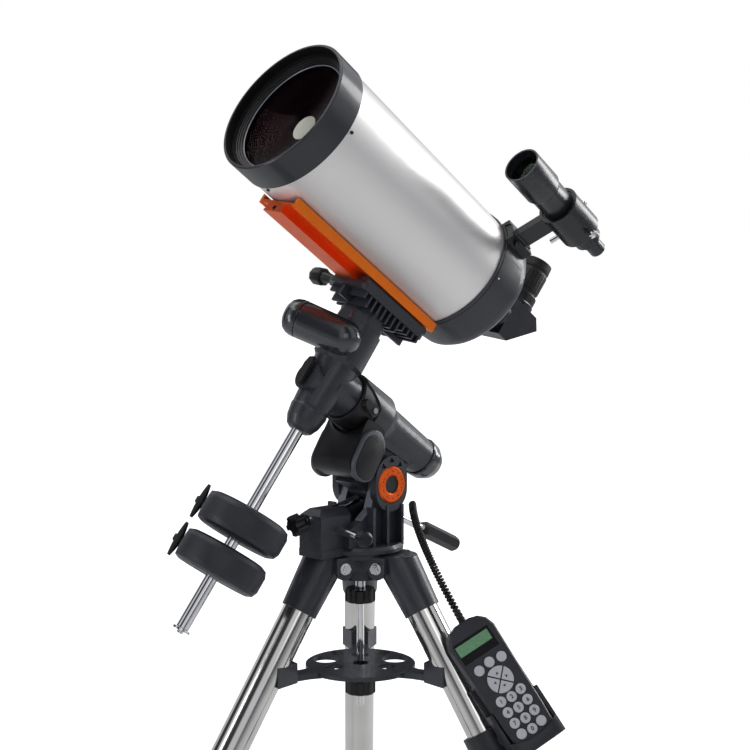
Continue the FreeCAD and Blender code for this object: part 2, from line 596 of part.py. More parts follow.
def rear_cell():
    """Rear cell with a thin seam, a rounded rear edge and the bores for focuser and visual back."""
    body = turned([(r, -t) for r, t in [
        (105.85, CELL_FRONT + 0.05), (CELL_R, CELL_FRONT + 0.05), (CELL_R, 472), (108.6, 484), (104, 491),
        (98, CELL_BACK), (29, CELL_BACK), (29, 499), (22, 499), (22, 478), (100, 478), (105.85, 468)]])
    body = body.cut(cyl(7.05, 30, (42, 42, -505)))
    return moved(body, OTA_FRAME)


def corrector():
    """Deeply curved meniscus lens, hollow side to the sky."""
    front, back = [], []
    for i in range(9):
        r = 96 * i / 8
        front.append((r, 41.5 - r * r / 580.0))
        back.append((r, 52.5 - r * r / 600.0))
    front[-1] = (96, 27.2)
    return ota(front + back[::-1][:-1] + [(0, 52.5)])


def secondary_spot():
    """Small mirror disc on the middle of the corrector's inner face."""
    rs = (0, 7, 14, 20.6)
    near = [(r, 52.6 - r * r / 600.0) for r in rs]
    return ota(near + [(r, t + 0.8) for r, t in near[::-1]])


def baffle_tube():
    return ota([(15.5, 255), (17, 255), (21.9, 477), (21.9, 497), (20.4, 497), (20.4, 477)])


def primary_mirror():
    curve = [(92 - 67 * i / 6, 440 + 14 * (1 - ((92 - 67 * i / 6) / 92.0) ** 2)) for i in range(7)]
    return ota(curve + [(23, 453), (23, 470), (40, 470), (92, 462)])


def focus_knob():
    knob = lobed(17, 12, 1.6, 30).fuse(cyl(7, 20, (0, 0, 30)))
    return moved(moved(knob, FreeCAD.Placement(V(42, 42, -526), FreeCAD.Rotation())), OTA_FRAME)


def visual_back():
    """Two inch visual back with three clamp screws."""
    body = turned([(29.1, -494.5), (34, -494.5), (34, -503), (31, -505), (31, -521), (29, -523),
                   (25.45, -523),
                   (25.45, -499.1), (29.1, -499.1)])
    for i in range(3):
        a = math.radians(120 * i + 20)
        outward = (math.cos(a), math.sin(a), 0)
        body = body.fuse(cyl(4.5, 10, (30 * math.cos(a), 30 * math.sin(a), -513), outward))
    return moved(body, OTA_FRAME)


DIAG_T = 592.0


def diagonal():
    """Star diagonal: nose in the visual back, five-sided cheeks, holder for the eyepiece."""
    nose = pipe(25.4, 22, 62, (0, 0, -562))
    outline = [(34, -562), (34, -622), (17, -638), (-34, -586), (-34, -562)]
    core = plate_xz(outline, -29, 29)
    skirt = turned([(0, -563), (31, -563), (31, -556), (28, -553), (0, -553)])
    rim = [(0, 0), (29, 0), (29, 8), (27.6, 10), (27.6, 24), (26.5, 26), (0, 26)]
    holder = turned(rim, (33.5, 0, -DIAG_T), (1, 0, 0))
    body = fuse([core, skirt, holder])
    passage = fuse([cyl(22, 60, (0, 0, -602)), cyl(22, 62, (-4, 0, -DIAG_T), (1, 0, 0))])
    body = body.cut(passage).cut(cyl(25.45, 30, (34, 0, -DIAG_T), (1, 0, 0)))
    slanted = FreeCAD.Placement(V(-5, 0, -607), FreeCAD.Rotation(V(0, 1, 0), -45))
    glass = moved(box(-31, 31, -25, 25, -3, 3), slanted)
    body = body.fuse(nose)
    body = body.fuse(glass.common(plate_xz(outline, -29, 29)))
    return moved(body, OTA_FRAME)


def eyepiece():
    """Eyepiece with a ribbed rubber grip and eyecup."""
    body = turned([(21, 36), (25.4, 36), (25.4, 59.6), (24, 59.6), (24, 66), (25.5, 68), (25.5, 100),
                   (24, 104), (25, 108),
                   (24, 122), (15, 122), (15, 112), (21, 100)], (0, 0, -DIAG_T), (1, 0, 0))
    lens = cyl(20.9, 4, (88, 0, -DIAG_T), (1, 0, 0))
    body = body.fuse(pipe(22.5, 12, 4, (88, 0, -DIAG_T), (1, 0, 0))).fuse(lens)
    ribs = []
    for i in range(24):
        y, z = spoke(25.9, 15 * i)
        ribs.append(cyl(0.9, 28, (70, y, z - DIAG_T), (1, 0, 0)))
    return moved(body.cut(Part.makeCompound(ribs)), OTA_FRAME)


# ---------------------------------------------------------------- finder
def finder_frame():
    a = math.radians(FINDER_ANGLE)
    out = (math.cos(a), math.sin(a), 0)
    side = (-math.sin(a), math.cos(a), 0)
    return OTA_FRAME.multiply(placement((0, 0, 0), out, side, (0, 0, 1)))


def finder_shoe():
    """Dovetail shoe on the rear cell which takes the finder bracket."""
    body = box(104, 124, -19, 19, -474, -420)
    body = body.cut(cyl(CELL_R + 0.05, 80, (0, 0, -490)))
    slot = Part.Face(Part.makePolygon([V(114, -13, -476), V(114, 13, -476), V(125, 9.5, -476),
                                       V(125, -9.5, -476),
                                       V(114, -13, -476)])).extrude(V(0, 0, 60))
    body = body.cut(slot)
    screw = cyl(4.5, 9, (119, -28, -436), (0, 1, 0))
    return moved(body.fuse(screw), finder_frame())


def finder_bracket():
    """Foot, stalk and tube which carry the finder."""
    foot = Part.Face(Part.makePolygon([V(114.2, -12.7, -472), V(114.2, 12.7, -472), V(126, 9.0, -472),
                                       V(126, -9.0, -472), V(114.2, -12.7, -472)])).extrude(V(0, 0, 50))
    stalk = box(125, FINDER_R - 26, -7, 7, -466, -434)
    ring = cyl(33, 69, (FINDER_R, 0, -500))
    body = fuse([foot, stalk, ring])
    body = body.cut(cyl(29, 80, (FINDER_R, 0, -505)))
    body = body.fuse(pipe(30, 25.9, 3, (FINDER_R, 0, -436)))
    body = body.fuse(pipe(33.6, 28.5, 3, (FINDER_R, 0, -434)))
    for angle in (60, -60, 180):
        a = math.radians(angle)
        start = (FINDER_R + 20 * math.cos(a), 20 * math.sin(a), -488)
        body = body.cut(cyl(2.05, 20, start, (math.cos(a), math.sin(a), 0)))
    return moved(body, finder_frame())


def finder_scope():
    """Finder barrel: objective cell, slim middle, knurled focus ring and eyepiece."""
    body = turned([(27, -325), (29.6, -325), (29.6, -385), (25.8, -394), (25.8, -498), (22.5, -500),
                   (22.5, -524), (17, -528), (17, -532), (13.5, -534), (13.5, -556),
                   (7, -556), (7, -530), (20, -520), (23, -500),
                   (24, -392), (27, -383)], (FINDER_R, 0, 0))
    ribs = []
    for i in range(24):
        x, y = spoke(22.9, 15 * i)
        ribs.append(cyl(0.9, 16, (x + FINDER_R, y, -521)))
    return moved(body.cut(Part.makeCompound(ribs)), finder_frame())


def finder_lens():
    lens = turned([(0, -337), (14, -338.2), (26.9, -341), (26.9, -345), (0, -346)], (FINDER_R, 0, 0))
    return moved(lens, finder_frame())


def finder_screws():
    """Two star screws and the spring plunger which centre the finder."""
    screws = []
    for angle in (60, -60, 180):
        a = math.radians(angle)
        aim = (math.cos(a), math.sin(a), 0)
        frame = aimed((FINDER_R + 26 * aim[0], 26 * aim[1], -488), aim)
        if angle == 180:
            screws.append(moved(cyl(2, 9).fuse(cyl(4.2, 15, (0, 0, 7.4))), frame))
        else:
            screws.append(moved(cyl(2, 16).fuse(moved(lobed(7, 6, 2, 6), FreeCAD.Placement(
                V(0, 0, 14), FreeCAD.Rotation()))), frame))
    return moved(Part.makeCompound(screws), finder_frame())


# ---------------------------------------------------------------- hand controller
CTRL_FRAME = placement((48.7, -249.9, PLATE_Z - 168.9), (0.8075, -0.3623, 0.4655),
                       (-0.2194, 0.5481, 0.8071), (-0.5476, -0.7539, 0.3631))
BODY_T = 26.0


def controller_outline():
    right = [(34.0, -104), (36.5, -60), (37.5, 0), (39, 60), (39.5, 74), (34, 88), (24, 97), (10, 101)]
    return right + [(-x, y) for x, y in reversed(right)]


def controller_body():
    """Hand controller shell with seats for the display and the keys."""
    shell = prism(controller_outline(), -BODY_T, 0)
    top = [f for f in shell.Faces if abs(f.CenterOfMass.z) < 0.01][0].Edges
    shell = shell.makeChamfer(2.5, top)
    tools = [box(-34.2, 28.2, 44, 78, -1.5, 1), cyl(20.6, 3, (0, 0, -3))]
    for x, y in round_keys():
        tools.append(cyl(7.9, 3, (x, y, -3)))
    return moved(cut(shell, tools), CTRL_FRAME)


def controller_screen():
    frame = box(-34, 28, 44.2, 77.8, -1.4, -0.2)
    glass = box(-33.2, 24.2, 57, 73.6, -0.15, 0.3)
    frame = frame.cut(box(-33.4, 24.4, 56.8, 73.8, -0.9, 0))
    return moved(Part.makeCompound([frame, glass.fuse(box(-33.2, 24.2, 57, 73.6, -0.85, 0))]), CTRL_FRAME)


def round_keys():
    """Centres of the fifteen round keys on the controller face."""
    spots = [(-20.3, 27.2), (0, 30.0), (20.3, 27.2)]
    for row in range(4):
        y = -27.4 - 18.2 * row
        spots += [(-18, y), (0, y - 2.2), (18, y)]
    return spots


def keys_round():
    outline = [(0, -1.8), (7.8, -1.8), (7.8, 1.0), (6.9, 1.8), (0, 2.0)]
    keys = [turned(outline, (x, y, 0)) for x, y in round_keys()]
    return moved(Part.makeCompound(keys), CTRL_FRAME)


def keys_direction():
    """Four wedge keys of the direction pad."""
    disc = turned([(0, -1.8), (20.2, -1.8), (20.2, 1.0), (19.2, 2.0), (0, 2.2)])
    for turn in (45, -45):
        turned_by = FreeCAD.Placement(V(0, 0, 0), FreeCAD.Rotation(Z_UP, turn))
        bar = moved(box(-30, 30, -1.1, 1.1, -5, 5), turned_by)
        disc = disc.cut(bar)
    return moved(Part.makeCompound(disc.Solids), CTRL_FRAME)


def controller_holder():
    """Cradle for the controller, clipped round a leg tube."""
    back = box(-44, 44, -112, 8, -BODY_T - 5, -BODY_T - 0.6)
    floor = box(-44, 44, -112, -105, -BODY_T - 5, -6)
    walls = [box(38.6, 44, -112, -36, -BODY_T - 5, -5), box(-44, -38.6, -112, -36, -BODY_T - 5, -5)]
    body = moved(fuse([back, floor] + walls), CTRL_FRAME)
    frame = leg_frame(LEG_AZIMUTHS[2])
    grip = moved(pipe(33, LEG_R + 0.05, 60, (0, 0, 285)), frame)
    a = CTRL_FRAME.multVec(V(-10, -70, -BODY_T - 3))
    b = frame.multVec(V(0, 0, 315))
    arm = Part.makeCylinder(16, a.sub(b).Length, b, a.sub(b))
    arm = arm.cut(moved(cyl(LEG_R + 0.05, 300, (0, 0, 200)), frame))
    body = fuse([body, grip, arm.cut(moved(box(-60, 60, -150, 120, -BODY_T - 0.6, 60), CTRL_FRAME))])
    return max(body.Solids, key=lambda s: s.Volume)


def hand_cable():
    """Coiled lead from the controller up to the mount, as a plain round bar."""
    low = CTRL_FRAME.multVec(V(1.9, 106, -13))
    high = V(64, -62, PLATE_Z + 44)
    return Part.makeCylinder(5.5, high.sub(low).Length - 12, low, high.sub(low))


def group(make):
    return Part.makeCompound([make(azimuth) for azimuth in LEG_AZIMUTHS])


def build():
    parts = {
        "tripod_head": tripod_head(), "head_bolts": head_bolts(),
        "leg_castings": Part.makeCompound([group(socket), group(leg_clamp)]),
        "leg_tubes": group(leg_tube), "leg_locks": group(leg_lock),
        "centre_rod": centre_rod(), "head_knob": rod_knob(-84.0, -62.5), "tray": tray(),
        "tray_knob": rod_knob(-231.0, -208.0),
        "azimuth_base": azimuth_base(), "pivot_rings": pivot_rings(), "pivot_pin": pivot_pin(),
        "altitude_screw_front": front_screw(), "altitude_screw_rear": rear_screw(),
        "azimuth_screw_near": azimuth_screw(1, 66.0), "azimuth_screw_far": azimuth_screw(-1, 16.0),
        "ra_housing": ra_housing(), "motor_cover": Part.makeCompound([motor_cover(), side_panel()]),
        "ra_rear_cap": ra_rear_cap(), "ra_clutch": ra_clutch(), "clutch_drum": clutch_drum(),
        "worm_wheel": worm_wheel(), "dec_housing": dec_housing(), "dec_lower_cap": dec_lower_cap(),
        "dec_motor_cover": dec_motor_cover(), "dec_clutch": dec_clutch(), "counter_shaft": counter_shaft(),
        "saddle": saddle(), "saddle_jaw": saddle_jaw(), "saddle_knob": saddle_knob(), "dovetail": dovetail(),
        "front_ring": front_ring(), "main_tube": main_tube(), "rear_cell": rear_cell(),
        "corrector": corrector(), "secondary_spot": secondary_spot(), "baffle_tube": baffle_tube(),
        "primary_mirror": primary_mirror(), "focus_knob": focus_knob(), "visual_back": visual_back(),
        "diagonal": diagonal(), "eyepiece": eyepiece(), "finder_shoe": finder_shoe(),
        "finder_bracket": finder_bracket(), "finder_scope": finder_scope(), "finder_lens": finder_lens(),
        "finder_screws": finder_screws(), "controller_holder": controller_holder(),
        "controller_body": controller_body(), "controller_screen": controller_screen(),
        "keys_direction": keys_direction(), "keys_round": keys_round(), "hand_cable": hand_cable(),
    }
    for name, azimuth in zip(("a", "b", "c"), LEG_AZIMUTHS):
        parts["lower_leg_" + name] = lower_leg(azimuth)
    for name, top in zip(("upper", "lower"), WEIGHT_TOPS):
        parts["counterweight_" + name] = counterweight(top)
        parts["weight_knob_" + name] = weight_knob(top)
    return parts


os.makedirs("parts", exist_ok=True)
for node, shape in build().items():
    shape.exportStep("parts/" + node + ".step")
    print(node, len(shape.Solids), shape.isValid(), round(shape.Volume / 1000.0, 1))
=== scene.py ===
import json
import math

import bmesh
import bpy
from mathutils import Matrix, Vector

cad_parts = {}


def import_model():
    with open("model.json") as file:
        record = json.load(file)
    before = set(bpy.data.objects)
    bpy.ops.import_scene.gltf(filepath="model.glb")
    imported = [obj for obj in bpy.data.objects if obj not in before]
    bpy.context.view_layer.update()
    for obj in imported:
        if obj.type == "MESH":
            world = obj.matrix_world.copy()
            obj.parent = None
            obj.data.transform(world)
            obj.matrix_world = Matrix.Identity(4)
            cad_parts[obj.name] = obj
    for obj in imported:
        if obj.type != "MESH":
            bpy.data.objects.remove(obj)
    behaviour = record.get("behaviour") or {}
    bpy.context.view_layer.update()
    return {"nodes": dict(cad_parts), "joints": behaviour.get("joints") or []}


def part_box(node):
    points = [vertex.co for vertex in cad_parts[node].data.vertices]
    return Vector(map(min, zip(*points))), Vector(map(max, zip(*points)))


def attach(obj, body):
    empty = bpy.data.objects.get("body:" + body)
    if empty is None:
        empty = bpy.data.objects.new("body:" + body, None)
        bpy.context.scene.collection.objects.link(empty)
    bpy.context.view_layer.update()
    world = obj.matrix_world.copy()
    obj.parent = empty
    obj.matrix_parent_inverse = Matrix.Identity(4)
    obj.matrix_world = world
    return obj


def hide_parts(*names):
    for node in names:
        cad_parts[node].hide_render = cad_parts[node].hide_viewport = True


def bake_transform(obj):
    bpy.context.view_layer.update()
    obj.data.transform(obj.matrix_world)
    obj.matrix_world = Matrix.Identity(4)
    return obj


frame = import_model()

# ---------------------------------------------------------------- places, in metres
JOINTS = {joint["name"]: joint for joint in frame["joints"]}
POLE = Vector(JOINTS["ra_turn"]["axis"]).normalized()
DEC = Vector(JOINTS["dec_turn"]["axis"]).normalized()
CROSSING = Vector(JOINTS["dec_turn"]["pos_m"])
SIDE = POLE.cross(DEC)
VISUAL_BACK_T = 0.530            # the diagonal's pivot lies this far behind the front rim
OTA = Vector(JOINTS["diagonal_turn"]["pos_m"]) + POLE * VISUAL_BACK_T
TUBE_R = 0.1077
CELL_R = 0.1099
ORANGE_BAR = 0.153               # dovetail bar's height above the axes' crossing
MM = 0.001
AXES_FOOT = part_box("azimuth_base")[0].z          # height of the tripod's top plate

KEY_OUT = Vector(JOINTS["controller_lift"]["axis"]).normalized()
KEY_UP = Vector((-0.2194, 0.5481, 0.8071)).normalized()
KEY_RIGHT = KEY_UP.cross(KEY_OUT)
KEY_ORIGIN = Vector((0.0487, -0.2499, 0.5511))


def basis(origin, x, y, z):
    """Matrix whose columns are three axes and an origin."""
    m = Matrix((x, y, z)).transposed().to_4x4()
    m.translation = origin
    return m


RA_FRAME = basis(CROSSING, DEC, SIDE, POLE)
TUBE_FRAME = basis(OTA, DEC, SIDE, POLE)
PAD_FRAME = basis(KEY_ORIGIN, KEY_RIGHT, KEY_UP, KEY_OUT)


def aimed(origin, along):
    """Matrix with its z axis along a direction."""
    m = Vector(along).to_track_quat("Z", "Y").to_matrix().to_4x4()
    m.translation = Vector(origin)
    return m


# ---------------------------------------------------------------- materials
class Nodes:
    """Small helper to wire a material's node tree."""

    def __init__(self, name):
        self.material = bpy.data.materials.new(name)
        self.material.use_nodes = True
        self.tree = self.material.node_tree
        self.bsdf = self.tree.nodes["Principled BSDF"]
        self.coord = self.add("ShaderNodeTexCoord")

    def add(self, kind, **values):
        node = self.tree.nodes.new(kind)
        for key, value in values.items():
            setattr(node, key, value)
        return node

    def link(self, a, b):
        self.tree.links.new(a, b)

    def noise(self, scale, detail=4.0, stretch=None):
        """Noise of about 1/scale metres, stretched by a factor for each axis."""
        node = self.add("ShaderNodeTexNoise")
        node.inputs["Scale"].default_value = scale
        node.inputs["Detail"].default_value = detail
        source = self.coord.outputs["Object"]
        if stretch:
            mapping = self.add("ShaderNodeMapping")
            mapping.inputs["Scale"].default_value = stretch
            self.link(source, mapping.inputs["Vector"])
            source = mapping.outputs["Vector"]
        self.link(source, node.inputs["Vector"])
        return node.outputs["Fac"]

    def ranged(self, value, low, high, start=0.3, stop=0.7):
        node = self.add("ShaderNodeMapRange")
        node.inputs["From Min"].default_value = start
        node.inputs["From Max"].default_value = stop
        node.inputs["To Min"].default_value = low
        node.inputs["To Max"].default_value = high
        self.link(value, node.inputs["Value"])
        return node.outputs["Result"]

    def mix(self, factor, a, b):
        node = self.add("ShaderNodeMix", data_type="RGBA")
        self.link(factor, node.inputs["Factor"])
        for socket, value in ((node.inputs[6], a), (node.inputs[7], b)):
            if isinstance(value, tuple):
                socket.default_value = (*value, 1.0)
            else:
                self.link(value, socket)
        return node.outputs[2]

    def bump(self, height, strength, distance, normal=None):
        node = self.add("ShaderNodeBump")
        node.inputs["Strength"].default_value = strength
        node.inputs["Distance"].default_value = distance
        self.link(height, node.inputs["Height"])
        if normal:
            self.link(normal, node.inputs["Normal"])
        return node.outputs["Normal"]


def surface(name, color, rough, metal=0.0, grain=900.0, grain_depth=0.15, mottle=0.12, wear=0.0,
            worn=(0.3, 0.3, 0.32), coat=0.0, stretch=None, specular=0.35, uneven=1.0):
    """Painted, moulded or machined finish: fine grain bump, patchy colour and gloss, rubbed edges."""
    n = Nodes(name)
    patches = n.noise(14.0, 3.0)
    fine = n.noise(grain, 3.0, stretch)
    dark = tuple(c * (1 - mottle) for c in color)
    light = tuple(min(1.0, c * (1 + mottle)) for c in color)
    tint = n.mix(n.ranged(patches, 0.0, 1.0), dark, light)
    if wear:
        edges = n.add("ShaderNodeNewGeometry").outputs["Pointiness"]
        sharp = n.ranged(edges, 0.0, 1.0, 0.53, 0.62)
        broken = n.add("ShaderNodeMath", operation="MULTIPLY")
        n.link(sharp, broken.inputs[0])
        n.link(n.ranged(n.noise(160.0), 0.0, wear), broken.inputs[1])
        tint = n.mix(broken.outputs[0], tint, worn)
    n.link(tint, n.bsdf.inputs["Base Color"])
    gloss = n.ranged(n.noise(45.0, 5.0), rough * (1 - 0.15 * uneven), rough * (1 + 0.2 * uneven))
    n.link(gloss, n.bsdf.inputs["Roughness"])
    n.link(n.bump(fine, grain_depth, 0.0004), n.bsdf.inputs["Normal"])
    n.bsdf.inputs["Metallic"].default_value = metal
    n.bsdf.inputs["Coat Weight"].default_value = coat
    n.bsdf.inputs["Coat Roughness"].default_value = 0.12
    n.bsdf.inputs["Specular IOR Level"].default_value = specular
    return n


def tube_paint():
    """Metallic silver-grey paint with a fine flake."""
    n = surface("tube_silver", (0.76, 0.745, 0.735), 0.40, metal=0.7, grain=2600.0, grain_depth=0.08,
                mottle=0.02, coat=0.2, uneven=0.15)
    flake = n.noise(5200.0, 1.0)
    grey = n.mix(n.ranged(flake, 0.0, 1.0), (0.71, 0.69, 0.68), (0.83, 0.81, 0.80))
    n.link(grey, n.bsdf.inputs["Base Color"])
    return n


def coated_glass(name, tint, shadow, clear, seen):
    """Coated lens: mostly clear, with a coloured reflection that grows towards the rim."""
    n = Nodes(name)
    n.bsdf.inputs["Base Color"].default_value = (*shadow, 1.0)
    n.link(n.ranged(n.noise(30.0), 0.02, 0.05), n.bsdf.inputs["Roughness"])
    n.bsdf.inputs["Specular Tint"].default_value = (*tint, 1.0)
    n.bsdf.inputs["Specular IOR Level"].default_value = 0.5
    see = n.add("ShaderNodeBsdfTransparent")
    see.inputs["Color"].default_value = (*seen, 1.0)
    mixer = n.add("ShaderNodeMixShader")
    weight = n.add("ShaderNodeLayerWeight")
    weight.inputs["Blend"].default_value = 0.25
    n.link(n.ranged(weight.outputs["Facing"], 1.0 - clear, 1.0, 0.3, 1.0), mixer.inputs["Fac"])
    n.link(see.outputs[0], mixer.inputs[1])
    n.link(n.bsdf.outputs[0], mixer.inputs[2])
    n.link(mixer.outputs[0], n.tree.nodes["Material Output"].inputs["Surface"])
    return n


def lcd_glass():
    """Green display with a faint uneven glow and no text."""
    n = surface("lcd_green", (0.06, 0.30, 0.10), 0.16, grain=400.0, grain_depth=0.01, coat=0.6)
    rows = n.noise(240.0, 1.0)
    green = n.mix(n.ranged(rows, 0.0, 1.0), (0.035, 0.17, 0.06), (0.05, 0.22, 0.08))
    n.link(green, n.bsdf.inputs["Base Color"])
    n.bsdf.inputs["Emission Color"].default_value = (0.05, 0.3, 0.09, 1.0)
    n.bsdf.inputs["Emission Strength"].default_value = 0.05
    return n


CASTING = surface("casting_grey", (0.026, 0.029, 0.037), 0.40, grain=1500.0, grain_depth=0.22, wear=0.35,
                  worn=(0.08, 0.085, 0.10), coat=0.2)
# Light grey that stands in for highlights: painted highlight on the fork ears' front faces and on the
# corrector's rim lip.
PAINTED_HIGHLIGHT_GREY = surface("painted_highlight_grey", (0.27, 0.28, 0.32), 0.38, metal=0.3, grain=1300.0, grain_depth=0.12)
BLACK_PLASTIC = surface("black_plastic", (0.007, 0.007, 0.008), 0.34, grain=1800.0, grain_depth=0.25,
                        wear=0.3, worn=(0.05, 0.05, 0.055))
GRIP_PLASTIC = surface("grip_plastic", (0.008, 0.008, 0.009), 0.46, grain=700.0, grain_depth=0.5)
MOTOR_PLASTIC = surface("motor_plastic", (0.022, 0.025, 0.031), 0.20, grain=2200.0, grain_depth=0.08,
                        coat=0.6, specular=0.5)
STAINLESS = surface("stainless", (0.60, 0.59, 0.57), 0.12, metal=1.0, grain=1600.0, grain_depth=0.05,
                    mottle=0.05)
CHROME = surface("chrome", (0.66, 0.66, 0.67), 0.09, metal=1.0, grain=900.0, grain_depth=0.03, mottle=0.04)
ORANGE = surface("orange_anodised", (0.86, 0.125, 0.016), 0.34, metal=0.85, grain=2600.0, grain_depth=0.12,
                 mottle=0.06)
# Brighter orange for the dovetail's side flanges: a painted highlight, a lit copy of the same anodised
# orange.
ORANGE_PAINTED_HIGHLIGHT = surface("orange_flange_painted_highlight", (1.0, 0.20, 0.012), 0.34, metal=0.6, grain=2600.0, grain_depth=0.12,
                        mottle=0.05)
BLACK_METAL = surface("black_metal", (0.012, 0.013, 0.016), 0.30, grain=2300.0, grain_depth=0.12, wear=0.3,
                      worn=(0.08, 0.08, 0.09), coat=0.15)
RING_METAL = surface("ring_metal", (0.022, 0.024, 0.029), 0.33, grain=2600.0, grain_depth=0.1, coat=0.25,
                     mottle=0.04, uneven=0.3)
BAFFLE_BLACK = surface("baffle_black", (0.003, 0.003, 0.003), 0.7, grain=1500.0, grain_depth=0.3,
                       specular=0.12)
WEIGHT_PAINT = surface("weight_paint", (0.022, 0.024, 0.030), 0.45, grain=1100.0, grain_depth=0.25, wear=0.3,
                       worn=(0.07, 0.07, 0.08))
RUBBER = surface("rubber", (0.007, 0.007, 0.007), 0.5, grain=1200.0, grain_depth=0.35)
KEY_WHITE = surface("key_white", (0.52, 0.52, 0.55), 0.42, grain=1600.0, grain_depth=0.08, mottle=0.03)
PAD_PLASTIC = surface("pad_plastic", (0.018, 0.019, 0.024), 0.40, grain=1100.0, grain_depth=0.4, wear=0.25,
                      worn=(0.06, 0.06, 0.065))
BEZEL = surface("bezel_black", (0.005, 0.005, 0.006), 0.30, grain=700.0, grain_depth=0.02, specular=0.1)
PANEL_EDGE = surface("panel_edge", (0.085, 0.09, 0.105), 0.42, metal=0.2, grain=1300.0, grain_depth=0.12)
BRASS = surface("brass", (0.62, 0.42, 0.16), 0.28, metal=1.0, grain=1500.0, grain_depth=0.1)
SPOT = surface("spot_silver", (0.93, 0.95, 0.90), 0.42, metal=0.8, grain=900.0, grain_depth=0.06, mottle=0.03)
MIRROR = surface("mirror", (0.35, 0.33, 0.36), 0.06, metal=1.0, grain=500.0, grain_depth=0.01, mottle=0.01)
INK = surface("key_ink", (0.05, 0.05, 0.055), 0.6, grain=1500.0, grain_depth=0.05)
TUBE_PAINT = tube_paint()
CORRECTOR = coated_glass("corrector_coating", (0.50, 0.16, 0.22), (0.012, 0.003, 0.005), 0.90,
                         (0.96, 0.96, 0.94))
LENS = coated_glass("lens_coating", (0.35, 0.55, 0.40), (0.004, 0.006, 0.005), 0.6, (0.6, 0.7, 0.6))
DISPLAY = lcd_glass()

FINISHES = {
    "tripod_head": CASTING, "head_bolts": CHROME, "leg_castings": CASTING, "leg_tubes": STAINLESS,
    "leg_locks": BLACK_PLASTIC, "tray": CASTING, "controller_holder": PAD_PLASTIC, "lower_leg_a": STAINLESS,
    "lower_leg_b": STAINLESS, "lower_leg_c": STAINLESS, "centre_rod": CHROME, "head_knob": BLACK_PLASTIC,
    "tray_knob": BLACK_PLASTIC, "azimuth_base": CASTING, "pivot_rings": ORANGE, "pivot_pin": RUBBER,
    "azimuth_screw_near": CHROME, "azimuth_screw_far": CHROME, "altitude_screw_front": CHROME,
    "altitude_screw_rear": CHROME, "ra_housing": CASTING, "motor_cover": BLACK_PLASTIC,
    "ra_rear_cap": MOTOR_PLASTIC, "ra_clutch": GRIP_PLASTIC, "clutch_drum": GRIP_PLASTIC, "worm_wheel": BRASS,
    "dec_housing": CASTING, "dec_lower_cap": CASTING, "dec_motor_cover": MOTOR_PLASTIC,
    "counter_shaft": CHROME, "dec_clutch": GRIP_PLASTIC, "counterweight_upper": WEIGHT_PAINT,
    "counterweight_lower": WEIGHT_PAINT, "weight_knob_upper": GRIP_PLASTIC, "weight_knob_lower": GRIP_PLASTIC,
    "saddle": CASTING, "dovetail": ORANGE, "front_ring": RING_METAL, "main_tube": TUBE_PAINT,
    "rear_cell": CASTING, "corrector": CORRECTOR, "secondary_spot": SPOT, "baffle_tube": BAFFLE_BLACK,
    "visual_back": BLACK_METAL, "finder_shoe": BLACK_PLASTIC, "saddle_jaw": CASTING,
    "saddle_knob": BLACK_PLASTIC, "focus_knob": RUBBER, "primary_mirror": MIRROR, "diagonal": BLACK_METAL,
    "eyepiece": RUBBER, "finder_bracket": BLACK_METAL, "finder_scope": BLACK_METAL, "finder_lens": LENS,
    "finder_screws": CHROME, "controller_body": PAD_PLASTIC, "controller_screen": BEZEL, "hand_cable": RUBBER,
    "keys_direction": KEY_WHITE, "keys_round": KEY_WHITE,
}


def give(piece, finish):
    """Puts one finish on a piece."""
    piece.data.materials.clear()
    piece.data.materials.append(finish.material)


# ---------------------------------------------------------------- CAD nodes
FAR = 100.0


